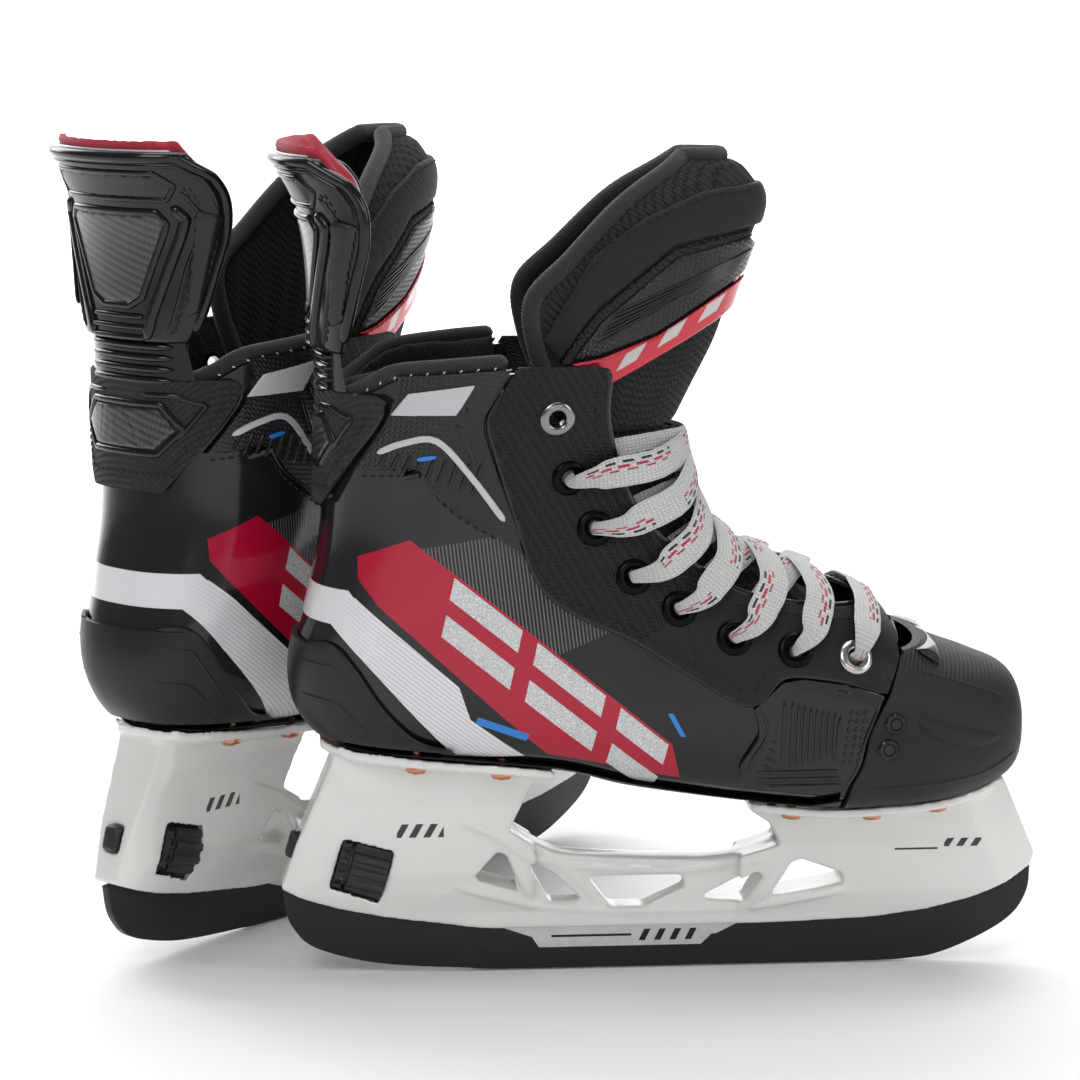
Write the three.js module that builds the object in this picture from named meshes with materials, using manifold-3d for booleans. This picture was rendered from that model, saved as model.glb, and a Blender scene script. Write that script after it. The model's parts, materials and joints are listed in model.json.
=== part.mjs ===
// A pair of ice hockey skates, right and left, standing on their runners.
// Millimetres, +Z up. The origin is on the ice under the middle of the right runner,
// +X runs to the right toe and -Y is the right skate's outer side. The left skate is
// the mirror image, set down beside and behind the right one, toe turned away.
import * as THREE from "three";
import { mergeVertices } from "three/addons/utils/BufferGeometryUtils.js";
import Module from "manifold-3d";

const wasm = await Module();
wasm.setup();

// ---------------------------------------------------------------- driving sizes
const LENGTH = 243; // runner, tip to tip
const HEIGHT = 264; // ice to the top of the tendon guard
const WIDTH = 81; // boot across the ball of the foot
const GAP = 0.3; // between pieces that touch

const SHELL_WALL = 2.5;
const OVERLAY = 1.8; // facings, panels, toe cap and heel counter, laid on the shell
const RIDGE = 2.2; // over the toe cap, behind its top
const OUTSOLE = 2.0;
const FLANGE = 2.6; // the holder's foot plates
const LINER = 3.6;
const FOOTBED = 5;
const TONGUE = 5;
const GUARD_WALL = 3.2;
const FELT = 2.8;
const BADGE = 1.6;
const LACE_THICK = 1.4;
const LACE_WIDE = 9;

const RUNNER_THICK = 3;
const RUNNER_SEAT = 3.2; // how deep the runner sits in the holder's slot
const EYELET_BORE = 2.5;
const EYELET_BARREL = 3.4;
const EYELET_RIM = 5.6;
const EYELET_RIM_THICK = 0.8;
const EYELET_RIM_LIFT = 0.6; // the flat rims clear the curved facing
const EYELET_TAPE = 0.8; // the strip that backs the facing and carries the eyelets
const TAPE_HALF = 6;
const RIVET_SHANK = 1.6;
const RIVET_HEAD = 3.2;
const RIVET_HEAD_THICK = 1.4;
const RIVET_PLATE = 1;

const WHEEL_RADIUS = 11;
const WHEEL_LENGTH = 16;
const WHEEL_RIBS = 14;
const WHEEL_RIB_DEPTH = 0.9;
const SCREW_RADIUS = 2.4;
const LOCK_TRAVEL = 2.5; // of the clamp block, over two turns of the wheel
const CLAMP_LENGTH = 8;
const CLAMP_HALF_WIDE = 3.5;
const CLAMP_HALF_TALL = 4;
const LOCK_TILT = THREE.MathUtils.degToRad(16); // the screw runs down towards the toe

// The outlines below are drawn for this size and stretched to the sizes above.
const DRAWN = { length: 243, height: 264, width: 81 };
const alongX = (x) => (x * LENGTH) / DRAWN.length;
const upZ = (z) => (z * HEIGHT) / DRAWN.height;
const acrossY = (y) => (y * WIDTH) / DRAWN.width;
const drawn = (points) => points.map(([x, z]) => [alongX(x), upZ(z)]);

// ---------------------------------------------------------------- materials
const paint = (hex, roughness, metalness = 0) =>
  new THREE.MeshStandardMaterial({ color: hex, roughness, metalness });
const finish = {
  shell: paint(0x17171a, 0.25),
  facing: paint(0x222326, 0.6),
  cap: paint(0x2b2b2d, 0.75),
  moulding: paint(0x141416, 0.35),
  outsole: paint(0x202022, 0.6),
  holder: paint(0xf1f0ec, 0.35),
  runner: paint(0x2a292a, 0.45, 0.6),
  liner: paint(0x1a1b1f, 0.95),
  felt: paint(0xb3122d, 0.95),
  tongue: paint(0x26262a, 0.85),
  badge: paint(0xc21f33, 0.25),
  lace: paint(0xf4f3f0, 0.9),
  eyelet: paint(0x0e0e10, 0.3, 0.7),
  rivet: paint(0xb87a55, 0.35, 0.9),
  wheel: paint(0x101012, 0.3),
  steel: paint(0x8f9194, 0.3, 1),
};

// ---------------------------------------------------------------- solids
// A closed BufferGeometry's volume as a solid that can be cut and joined.
function solid(geometry) {
  const bare = geometry.index ? geometry.toNonIndexed() : geometry.clone();
  bare.deleteAttribute("normal");
  bare.deleteAttribute("uv");
  const merged = mergeVertices(bare, 1e-4);
  const make = (triangles) =>
    new wasm.Manifold(
      new wasm.Mesh({
        numProp: 3,
        vertProperties: merged.attributes.position.array,
        triVerts: triangles,
      }),
    );
  const triangles = new Uint32Array(merged.index.array);
  const made = make(triangles);
  return made.volume() < 0 ? make(triangles.reverse()) : made;
}

function geometryOf(body) {
  const mesh = body.getMesh();
  return new THREE.BufferGeometry()
    .setAttribute("position", new THREE.BufferAttribute(new Float32Array(mesh.vertProperties), 3))
    .setIndex(new THREE.BufferAttribute(new Uint32Array(mesh.triVerts), 1));
}

// Triangles that fill a closed ring, wound the way the ring runs.
function capOf(ring) {
  const normal = new THREE.Vector3();
  ring.forEach((p, k) => normal.add(new THREE.Vector3().crossVectors(p, ring[(k + 1) % ring.length])));
  const [u, v] = ["x", "y", "z"].sort((a, b) => Math.abs(normal[a]) - Math.abs(normal[b]));
  const flat = ring.map((p) => new THREE.Vector2(p[u], p[v]));
  const forwards = THREE.ShapeUtils.area(flat) > 0;
  return THREE.ShapeUtils.triangulateShape(flat, []).map(([a, b, c]) => {
    const turns = THREE.ShapeUtils.area([flat[a], flat[b], flat[c]]) > 0;
    return turns === forwards ? [a, b, c] : [a, c, b];
  });
}

// Closed rings of the same count, skinned one to the next and capped at both ends.
function loft(rings) {
  const count = rings[0].length;
  const positions = rings.flat().flatMap((p) => [p.x, p.y, p.z]);
  const index = [];
  for (let r = 0; r + 1 < rings.length; r++)
    for (let k = 0; k < count; k++) {
      const next = (k + 1) % count;
      const [a, b, c, d] = [r * count + k, r * count + next, (r + 1) * count + next, (r + 1) * count + k];
      index.push(a, b, c, a, c, d);
    }
  const last = (rings.length - 1) * count;
  for (const [a, b, c] of capOf(rings[0])) index.push(a, c, b);
  for (const [a, b, c] of capOf(rings.at(-1))) index.push(last + a, last + b, last + c);
  const geometry = new THREE.BufferGeometry();
  geometry.setAttribute("position", new THREE.Float32BufferAttribute(positions, 3));
  geometry.setIndex(index);
  return geometry;
}

// A side-view outline (x, z), cut straight through from y = low to y = high.
function prism(outline, low = -150, high = 150) {
  const shape = new THREE.Shape(outline.map(([x, z]) => new THREE.Vector2(x, z)));
  const geometry = new THREE.ExtrudeGeometry(shape, { depth: high - low, bevelEnabled: false });
  return solid(geometry.rotateX(Math.PI / 2).translate(0, high, 0));
}

// A plan outline (x, half width), mirrored about y = 0, from z = low to z = high.
function planPrism(halfOutline, low, high) {
  const points = halfOutline.map(([x, y]) => new THREE.Vector2(x, -y));
  const back = [...halfOutline].reverse().map(([x, y]) => new THREE.Vector2(x, y));
  const shape = new THREE.Shape([...points, ...back]);
  const geometry = new THREE.ExtrudeGeometry(shape, { depth: high - low, bevelEnabled: false });
  return solid(geometry.translate(0, 0, low));
}

// A front-view outline (half width, z), mirrored about y = 0, from x = low to x = high.
function frontPrism(halfOutline, low, high) {
  const right = halfOutline.map(([y, z]) => new THREE.Vector2(y, z));
  const left = [...halfOutline].reverse().map(([y, z]) => new THREE.Vector2(-y, z));
  const shape = new THREE.Shape([...right, ...left]);
  const geometry = new THREE.ExtrudeGeometry(shape, { depth: high - low, bevelEnabled: false });
  return solid(geometry.rotateX(Math.PI / 2).rotateZ(Math.PI / 2).translate(low, 0, 0));
}

function box(x0, x1, y0, y1, z0, z1) {
  const geometry = new THREE.BoxGeometry(x1 - x0, y1 - y0, z1 - z0);
  return solid(geometry.translate((x0 + x1) / 2, (y0 + y1) / 2, (z0 + z1) / 2));
}

// A cylinder from point to point.
function rod(from, to, radius, sides = 6) {
  const axis = new THREE.Vector3().subVectors(to, from);
  const turn = new THREE.Quaternion().setFromUnitVectors(
    new THREE.Vector3(0, 1, 0),
    axis.clone().normalize(),
  );
  const middle = new THREE.Vector3().addVectors(from, to).multiplyScalar(0.5);
  const geometry = new THREE.CylinderGeometry(radius, radius, axis.length(), sides);
  return solid(geometry.applyQuaternion(turn).translate(middle.x, middle.y, middle.z));
}

const joined = (bodies) => bodies.reduce((all, body) => all.add(body));

// ---------------------------------------------------------------- the last
// Ribs of the boot's outer form from toe to collar. Each spans from the sole or heel
// side to the instep side: [sole x, sole z, instep x, instep z, half width, squareness].
const RIBS = [
  [115.5, 79, 115.5, 85, 7, 2.5],
  [112.5, 67, 112, 95, 20, 2.6],
  [103, 62, 100.5, 100.5, 30, 2.8],
  [88, 59, 85, 106.5, 36.5, 3.2],
  [70, 57.8, 69, 118, 39, 3.5],
  [46, 58, 49, 129, 40.5, 3.5],
  [-8, 65, 22, 141, 37, 3.4],
  [-34, 70.5, 11, 155, 34.5, 3.3],
  [-86, 74.5, 6, 176, 32, 3],
  [-103, 78.5, 6, 183, 31.5, 2.7],
  [-113, 88, 6, 188, 31.5, 2.5],
  [-116, 101, 6, 192, 32.5, 2.5],
  [-112.5, 121, 7, 196, 33.5, 2.4],
  [-107.5, 145, 8, 201, 34.5, 2.4],
  [-105, 185, 9.5, 209, 37, 2.4],
  [-106, 236, 12, 238, 37, 2.4],
];
const INSTEP_SQUARENESS = 2.3;
const RIB_POINTS = 12;
const TOE_TURN = 3; // how far the toe curves towards the inner side

const toeShift = (x) => acrossY(TOE_TURN) * THREE.MathUtils.smoothstep(x, alongX(0), alongX(115));

function ribRing([soleX, soleZ, stepX, stepZ, halfWidth, squareness]) {
  const sole = new THREE.Vector3(alongX(soleX), 0, upZ(soleZ));
  const step = new THREE.Vector3(alongX(stepX), 0, upZ(stepZ));
  const middle = new THREE.Vector3().addVectors(sole, step).multiplyScalar(0.5);
  const reach = new THREE.Vector3().subVectors(step, sole).multiplyScalar(0.5);
  return Array.from({ length: RIB_POINTS }, (_, k) => {
    const turn = (2 * Math.PI * k) / RIB_POINTS;
    const [c, s] = [Math.cos(turn), Math.sin(turn)];
    const power = 2 / (c < 0 ? squareness : INSTEP_SQUARENESS);
    const along = Math.sign(c) * Math.abs(c) ** power;
    const across = Math.sign(s) * Math.abs(s) ** power;
    const point = middle.clone().addScaledVector(reach, along);
    point.y = acrossY(halfWidth) * across + toeShift(point.x);
    return point;
  });
}

const lastGeometry = loft(RIBS.map(ribRing));
lastGeometry.computeVertexNormals();

// The outer form moved out by offset along its own normals.
function formGeometry(offset) {
  const geometry = lastGeometry.clone();
  const position = geometry.attributes.position;
  const normal = geometry.attributes.normal;
  for (let i = 0; i < position.count; i++)
    position.setXYZ(
      i,
      position.getX(i) + offset * normal.getX(i),
      position.getY(i) + offset * normal.getY(i),
      position.getZ(i) + offset * normal.getZ(i),
    );
  return geometry;
}
const forms = new Map();
function form(offset) {
  const key = offset.toFixed(3);
  if (!forms.has(key)) forms.set(key, solid(formGeometry(offset)));
  return forms.get(key);
}
const band = (inner, outer) => form(outer).subtract(form(inner));

// Where a straight line first meets the form at an offset, with the facet's normal there
// and the rounded one.
function meet(offset, from, direction) {
  const mesh = new THREE.Mesh(formGeometry(offset), new THREE.MeshBasicMaterial({ side: THREE.DoubleSide }));
  const hit = new THREE.Raycaster(from, direction).intersectObject(mesh)[0];
  return { point: hit.point, normal: hit.face.normal.clone(), rounded: hit.normal.clone().normalize() };
}
const onSide = (x, z, offset, side) =>
  meet(offset, new THREE.Vector3(x, 200 * side, z), new THREE.Vector3(0, -side, 0));
const onSole = (x, y, offset) => meet(offset, new THREE.Vector3(x, y, 0), new THREE.Vector3(0, 0, 1));

const LATERAL = -1;
const MEDIAL = 1;
const halfOf = (outline, side) => (side < 0 ? prism(outline, -150, -1) : prism(outline, 1, 150));

// ---------------------------------------------------------------- boot outlines
const soleLine = drawn([
  [112, 66], [100, 61], [86, 59], [70, 57.5], [46, 57.5], [20, 60], [-8, 64.5], [-34, 70], [-60, 72.5], [-90, 75],
]);
const raised = (line, by) => line.map(([x, z]) => [x, z + by]);

const throatEdge = drawn([
  [73, 108], [72, 117], [67, 121], [44, 124], [22, 129], [4, 141], [-11, 157], [-19, 182], [-19, 198], [-23, 201],
]);
const eyelets = drawn([
  [-35, 185], [-31, 166], [-23, 150], [-11, 135], [3, 125], [20, 116], [39, 112], [58, 109],
]);
const facingOutline = [
  ...throatEdge,
  ...drawn([[-47, 201], [-54, 190], [-56, 184], [-54, 175], [-40, 133], [-12, 116], [25, 95], [34, 103],
    [41, 104], [54, 102], [68, 97.5]]),
];
const collarOutline = drawn([
  [-84, 198], [-49, 200.5], [-56.5, 189], [-58.5, 184], [-56.5, 175], [-45, 142], [-69, 159],
  [-77, 169], [-81, 170], [-96.5, 168.5], [-86.5, 183], [-83, 191],
]);
const sidePanelOutline = drawn([
  [67, 96.5], [54, 101], [41.5, 103], [35, 102], [26, 93.5], [28, 89], [28, 85], [23.5, 77], [22.5, 73],
  [24, 67], [52, 66.5], [56, 67], [60, 76], [62, 86], [65, 92.5],
]);
const toeCapOutline = drawn([
  [74.5, 130], [74.5, 108], [71.5, 101], [69.5, 96], [66.5, 91], [63.5, 85], [61.5, 75.5], [57.5, 66], [56, 50],
  [130, 50], [130, 130],
]);
const heelCounterOutline = drawn([
  [-130, 113], [-104, 112], [-97, 104], [-89, 92], [-78, 81], [-66, 77], [-106, 80.5], [-130, 84],
]);
const shellOutline = drawn([
  [66, 50], [66, 97], [50, 99.5], [36, 101], [17, 105.5], [-3, 113.5], [-18, 125], [-32, 143], [-43, 163],
  [-47, 185], [-47, 199], [-84, 196.5], [-100, 187], [-130, 186], [-130, 50],
]);
const linerOutline = [
  ...raised(soleLine.slice(6), SHELL_WALL + FOOTBED + 5),
  ...drawn([[-130, 89], [-130, 187], [-100, 189], [-84, 199], [-50, 201], [-50, 185], [-46, 163], [-36, 141],
    [-22, 121], [-8, 109]]),
];
const tongueEdge = drawn([
  [69, 108], [58, 105], [40, 107], [20, 111], [4, 119], [-9, 130], [-19, 145], [-26, 160], [-28, 169],
]);

// ---------------------------------------------------------------- boot pieces
const rivetSpots = {
  rear: [[-78, 15.5], [-51, 15.5]],
  front: [[41, 19], [67, 19], [89, 15]],
};

function rivetSet(spots) {
  const places = spots.flatMap(([x, y]) => [
    [alongX(x), acrossY(y)],
    [alongX(x), -acrossY(y)],
  ]);
  const xs = places.map(([x]) => x);
  const ys = places.map(([, y]) => y);
  const edge = RIVET_HEAD + 1;
  const top = SHELL_WALL + GAP;
  const plate = band(-top - RIVET_PLATE, -top)
    .intersect(prism([...raised(soleLine, 9), ...drawn([[-95, 50], [112, 50]])]))
    .intersect(box(Math.min(...xs) - edge, Math.max(...xs) + edge, Math.min(...ys) - edge,
      Math.max(...ys) + edge, 0, upZ(95)));
  const shanks = [];
  const holes = [];
  for (const [x, y] of places) {
    const seat = onSole(x, y, OUTSOLE + 2 * GAP + FLANGE).point.z - GAP - RIVET_HEAD_THICK / 2;
    const inside = onSole(x, y, -top).point.z;
    const at = (z) => new THREE.Vector3(x, y, z);
    shanks.push(rod(at(seat - RIVET_HEAD_THICK), at(seat), RIVET_HEAD));
    shanks.push(rod(at(seat - RIVET_HEAD_THICK / 2), at(inside + RIVET_PLATE / 2), RIVET_SHANK, 4));
    holes.push(rod(at(seat - RIVET_HEAD_THICK - 8), at(seat + GAP), RIVET_HEAD + GAP));
    holes.push(rod(at(seat), at(inside + RIVET_PLATE), RIVET_SHANK + 2 * GAP, 4));
  }
  return { body: joined([plate, ...shanks]), holes: joined(holes) };
}
const rearRivets = rivetSet(rivetSpots.rear);
const frontRivets = rivetSet(rivetSpots.front);
const rivetHoles = rearRivets.holes.add(frontRivets.holes);

const shell = band(-SHELL_WALL, 0).intersect(prism(shellOutline)).subtract(rivetHoles);

const overlay = band(GAP, GAP + OVERLAY);
const toeCap = overlay.intersect(prism(toeCapOutline)).subtract(
  box(alongX(50), alongX(95), -acrossY(60), acrossY(60), upZ(109), upZ(140)),
).subtract(rivetHoles);
const heelCounter = overlay.intersect(prism(heelCounterOutline));

const outsoleOutline = [
  ...raised(soleLine, 6).filter(([x]) => x < alongX(60)),
  ...drawn([[-100, 78], [-100, 60], [55, 50], [55, 62]]),
];
const outsole = band(GAP, GAP + OUTSOLE)
  .intersect(prism(outsoleOutline))
  .subtract(prism(heelCounterOutline))
  .intersect(box(-alongX(98), alongX(55), -acrossY(38), acrossY(38), 0, upZ(90)))
  .subtract(rivetHoles);

const footbedOutline = [
  ...raised(soleLine, SHELL_WALL + 2 * GAP + RIVET_PLATE + FOOTBED),
  ...drawn([[-104, 84], [-104, 60], [112, 50]]),
];
const footbed = form(-(SHELL_WALL + 2 * GAP + RIVET_PLATE)).intersect(prism(footbedOutline));

const linerOut = SHELL_WALL + GAP;
const liner = band(-linerOut - LINER, -linerOut).intersect(prism(linerOutline));

// The tongue under the lacing, between the facings and the foot.
const tongueOut = SHELL_WALL + 2 * GAP + LACE_THICK + 1;
const tongueTopZ = 177.5;
const tongueLowerOutline = [
  ...tongueEdge,
  ...drawn([[-28, tongueTopZ], [30, tongueTopZ], [90, 140], [73, 116]]),
];
const tongueLower = band(-tongueOut - TONGUE, -tongueOut).intersect(prism(tongueLowerOutline));

// A flat strip through stops of { point, across, up, wide, thick }, up and across its own.
function strip(stops) {
  return solid(loft(stops.map(({ point, across, up, wide, thick }) =>
    [[-0.5, -0.5], [0.5, -0.5], [0.5, 0.5], [-0.5, 0.5]].map(([side, lift]) =>
      point.clone().addScaledVector(across, side * wide).addScaledVector(up, lift * thick)))));
}

// The tape that backs the facing, a strip of even width along the row of eyelets.
const tapeOutline = (() => {
  const row = [0, 3, 5, 7].map((i) => new THREE.Vector2(...eyelets[i]));
  const edge = (side) =>
    row.map((spot, i) => {
      const before = row[Math.max(i - 1, 0)];
      const after = row[Math.min(i + 1, row.length - 1)];
      const along = after.clone().sub(before).normalize();
      const past = i === 0 ? -EYELET_RIM : i === row.length - 1 ? EYELET_RIM : 0;
      return [
        spot.x + past * along.x - side * TAPE_HALF * along.y,
        spot.y + past * along.y + side * TAPE_HALF * along.x,
      ];
    });
  return [...edge(1), ...edge(-1).reverse()];
})();

function facing(side) {
  const sheet = overlay.intersect(halfOf(facingOutline, side));
  const seats = eyelets.map(([x, z]) => onSide(x, z, GAP + OVERLAY, side));
  const tape = band(-EYELET_TAPE, 0).intersect(halfOf(tapeOutline, side));
  const [barrels, rims, bores, holes] = [[], [], [], []];
  for (const { point, normal } of seats) {
    const out = (distance) => point.clone().addScaledVector(normal, distance);
    const depth = GAP + OVERLAY + EYELET_TAPE;
    barrels.push(rod(out(-depth), out(EYELET_RIM_LIFT + EYELET_RIM_THICK / 2), EYELET_BARREL, 4));
    rims.push(rod(out(EYELET_RIM_LIFT), out(EYELET_RIM_LIFT + EYELET_RIM_THICK), EYELET_RIM));
    bores.push(rod(out(-8), out(8), EYELET_BORE, 4));
    holes.push(rod(out(-8), out(8), EYELET_BARREL + 2 * GAP, 4));
  }
  return {
    sheet: sheet.subtract(joined(holes)),
    eyelets: joined([tape, ...barrels, ...rims]).subtract(joined(bores)),
    seats,
  };
}
const facings = { [LATERAL]: facing(LATERAL), [MEDIAL]: facing(MEDIAL) };

// One run of lace leaves an eyelet, crosses the facing's edge and the tongue and goes in
// under the other facing: [share of the way to the next eyelet, height over the form,
// share of its width].
const LACE_RUN = [
  [0.1, 6.7, 0.6], [0.2, 5.8, 1], [0.34, 4.8, 1], [0.5, 2.2, 1], [0.64, -1, 1], [0.76, -2.5, 0.9], [0.9, -2.5, 0.6],
];
const LACE_BAR = [[0.5, 3.6, 1], [0.66, 4.4, 1], [0.8, 6.3, 1], [0.9, 7.2, 0.5]];
const LACE_UNDER = [[0.3, -2.5, 0.6], [0.7, -2.5, 0.6]];
const IN_EYELET = 0.3; // and inside an eyelet

function laceStops(from, to, rise, run) {
  const outward = new THREE.Vector3(Math.cos(rise), 0, Math.sin(rise));
  const core = new THREE.Vector3().lerpVectors(from, to, 0.5).addScaledVector(outward, -20).setY(0);
  return run.map(([share, height, width]) => {
    const over = new THREE.Vector3().lerpVectors(from, to, share);
    const inward = new THREE.Vector3().subVectors(core, over).normalize();
    const { point, rounded } = meet(height, over.addScaledVector(inward, -60), inward);
    return { point, normal: rounded, wide: width * LACE_WIDE };
  });
}

// Through an eyelet, from under the facing to the top of it.
function eyeletStops({ point, normal }) {
  return [-4.4, 0, 4].map((height) => ({
    point: point.clone().addScaledVector(normal, height),
    normal,
    wide: IN_EYELET * LACE_WIDE,
  }));
}

// Half the lace, from the middle of the bar at the toe to the end tucked in at the top.
function laceHalf(startSide) {
  const seat = (i, side) => facings[side].seats[i];
  const rise = (i) => THREE.MathUtils.degToRad(THREE.MathUtils.mapLinear(i, 1, 7, 10, 66));
  const hole = (i, side) => seat(i, side).point;
  const stops = [
    ...laceStops(hole(7, -startSide), hole(7, startSide), rise(7), LACE_BAR),
    ...eyeletStops(seat(7, startSide)).reverse(),
    ...laceStops(hole(7, startSide), hole(6, startSide), rise(6.5), LACE_UNDER),
  ];
  let side = startSide;
  for (let i = 6; i > 0; i--) {
    stops.push(...eyeletStops(seat(i, side)));
    const next = i > 1 ? hole(i - 1, -side) : hole(1, -side).clone().lerp(hole(0, -side), 0.3);
    stops.push(...laceStops(hole(i, side), next, rise(i - 0.5), i > 1 ? LACE_RUN : LACE_RUN.slice(0, -1)));
    side = -side;
  }
  let across = null;
  const framed = stops.map((stop, k) => {
    const before = stops[Math.max(k - 1, 0)].point;
    const after = stops[Math.min(k + 1, stops.length - 1)].point;
    const along = new THREE.Vector3().subVectors(after, before).normalize();
    const flat = new THREE.Vector3().crossVectors(stop.normal, along);
    const inBore = flat.length() < 0.5 && across;
    const turned = inBore ? across.clone().addScaledVector(along, -along.dot(across)) : flat;
    const next = turned.normalize();
    if (across && next.dot(across) < 0) next.negate();
    across = next;
    return { ...stop, across, up: new THREE.Vector3().crossVectors(along, across), thick: LACE_THICK };
  });
  return strip(framed);
}
const lace = () => laceHalf(LATERAL).add(laceHalf(MEDIAL));

const ridgeTop = GAP + OVERLAY + GAP + RIDGE;
const toeRidgeOutline = [
  ...drawn([[75, 100], [87, 98]]),
  ...raised(drawn([[87, 104], [75, 104]]), ridgeTop),
];
const toeRidge = band(ridgeTop - RIDGE, ridgeTop)
  .intersect(prism(toeRidgeOutline, -acrossY(24), acrossY(30)));

// ---------------------------------------------------------------- arcs: guard and tongue
// Levels of a sheet bent round the leg: z, crown x, how far the edges reach back from the
// crown (positive towards the heel), half width. The sheet is thick inwards by wall.
const ARC_STEPS = 8;
function arcSheet(levels, inset, wall, sweep) {
  const rings = levels.map(([z, crownX, reachX, halfWidth]) => {
    const side = (shrink) =>
      Array.from({ length: ARC_STEPS + 1 }, (_, k) => {
        const turn = sweep * (-1 + (2 * k) / ARC_STEPS);
        const scale = 1 - Math.cos(sweep);
        const reach = alongX(reachX) / scale;
        const toLeg = Math.sign(reachX) * shrink;
        return new THREE.Vector3(
          alongX(crownX) - toLeg - (reach - toLeg) * (1 - Math.cos(turn)),
          (acrossY(halfWidth) / Math.sin(sweep) - shrink) * Math.sin(turn),
          upZ(z),
        );
      });
    return [...side(inset), ...side(inset + wall).reverse()];
  });
  return solid(loft(rings));
}
const GUARD_SWEEP = THREE.MathUtils.degToRad(78);
const TONGUE_SWEEP = THREE.MathUtils.degToRad(88);
const guardLevels = [
  [203.5, -110, -9.5, 24], [213, -110, -11, 28], [227, -110.5, -14.5, 31.5], [240, -112, -18.5, 34],
  [252, -115.5, -20, 34], [264, -123, -16, 31],
];
const tongueLevels = [
  [178, 4, 34, 26], [189, 9.5, 44, 27], [205, 17.5, 58, 28], [220, 22.5, 64, 28], [232, 27, 57, 26],
  [248, 32, 46, 20], [260, 24, 18, 11],
];
const tongueUpper = arcSheet(tongueLevels, 0, TONGUE, TONGUE_SWEEP);
const badgeArea = prism(drawn([
  [-31, 201], [-18, 194], [19, 213], [40, 226], [27, 238], [3, 233], [-21, 214],
]));
const badge = arcSheet(tongueLevels, -2 * GAP - BADGE, BADGE, TONGUE_SWEEP).intersect(badgeArea);
const guardUpper = arcSheet(guardLevels, 0, GUARD_WALL, GUARD_SWEEP);
const guardFelt = arcSheet(guardLevels, GUARD_WALL + 2 * GAP, FELT, GUARD_SWEEP);

const guardBand = band(GAP, GAP + GUARD_WALL);
const guardBase = guardBand.intersect(
  prism(drawn([
    [-130, 156], [-107, 156], [-101, 167], [-91, 182], [-87, 190], [-90, 191], [-100, 189], [-130, 189],
  ])),
);
const guardFlex = guardBand.intersect(
  prism(drawn([[-130, 189.3], [-99, 189.3], [-101, 203.2], [-130, 203.2]])),
);

// ---------------------------------------------------------------- runner and holder
const holderFoot = drawn([
  [-121, 29], [-111, 25], [-102, 22], [-89, 19], [-76, 17], [-62, 15], [-52, 14.2], [34, 14.2], [71, 15.5],
  [88, 18], [102, 22], [115, 28], [121.5, 32],
]);
const runnerBelow = drawn([
  [122, 31], [121.5, 24], [119, 18], [115, 13.5], [109, 9.5], [102, 6], [94, 2.8], [85, 0.8], [62, 0], [-44, 0],
  [-62, 0.7], [-80, 1.8], [-93, 3.4], [-105, 6.5], [-112, 9.5], [-116, 13.5], [-119, 19], [-120.5, 27.5],
]);
const lockSpot = new THREE.Vector3(alongX(-95), 0, upZ(36.5));
const lockAxis = new THREE.Vector3(Math.cos(LOCK_TILT), 0, -Math.sin(LOCK_TILT));
const onLock = (distance) => lockSpot.clone().addScaledVector(lockAxis, distance);
const clampFrom = WHEEL_LENGTH / 2 + LOCK_TRAVEL + GAP;
const clampTo = clampFrom + CLAMP_LENGTH;

// The rear tab's heel edge is square to the screw, so that the clamp block bears on it.
const tabFace = onLock(clampTo + GAP);
const onTabFace = (z) => [tabFace.x + (z - tabFace.z) * Math.tan(LOCK_TILT), z];
const rearTab = [
  onTabFace(upZ(17)), onTabFace(upZ(38)), ...drawn([[-64, 38], [-60.5, 17]]),
];
const frontTab = drawn([[84, 19.5], [87, 40], [99, 40], [102, 19.5]]);
const runnerHalf = RUNNER_THICK / 2;
const seatLine = holderFoot.slice(1, -1).map(([x, z]) => [x, z + RUNNER_SEAT]);
const runnerOutline = [...runnerBelow, ...seatLine];
const inRunner = (outline, extra) => prism(outline, -runnerHalf - extra, runnerHalf + extra);
const wheelPocket = rod(
  onLock(-WHEEL_LENGTH / 2 - GAP), onLock(WHEEL_LENGTH / 2 + GAP), WHEEL_RADIUS + 3 * GAP, 12,
);
const runner = joined([runnerOutline, rearTab, frontTab].map((outline) => inRunner(outline, 0)))
  .subtract(wheelPocket);

// The outline with every corner moved away from the middle, for a pocket round it.
function spread(outline, by) {
  const middle = (axis) => outline.reduce((sum, point) => sum + point[axis], 0) / outline.length;
  const [cx, cz] = [middle(0), middle(1)];
  return outline.map(([x, z]) => [x + by * Math.sign(x - cx), z + by * Math.sign(z - cz)]);
}
const seatTop = raised(seatLine, GAP);
const runnerSlot = joined([
  inRunner([[-alongX(130), 0], [-alongX(130), seatTop[0][1]], ...seatTop, [alongX(130), seatTop.at(-1)[1]],
    [alongX(130), 0]], GAP),
  inRunner(spread(rearTab, 2 * GAP), GAP),
  inRunner(spread(frontTab, 2 * GAP), GAP),
]);

function onLockBox(from, to, halfWide, halfTall) {
  const geometry = new THREE.BoxGeometry(to - from, 2 * halfWide, 2 * halfTall);
  const middle = onLock((from + to) / 2);
  return solid(geometry.rotateY(LOCK_TILT).translate(middle.x, 0, middle.z));
}

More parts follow.
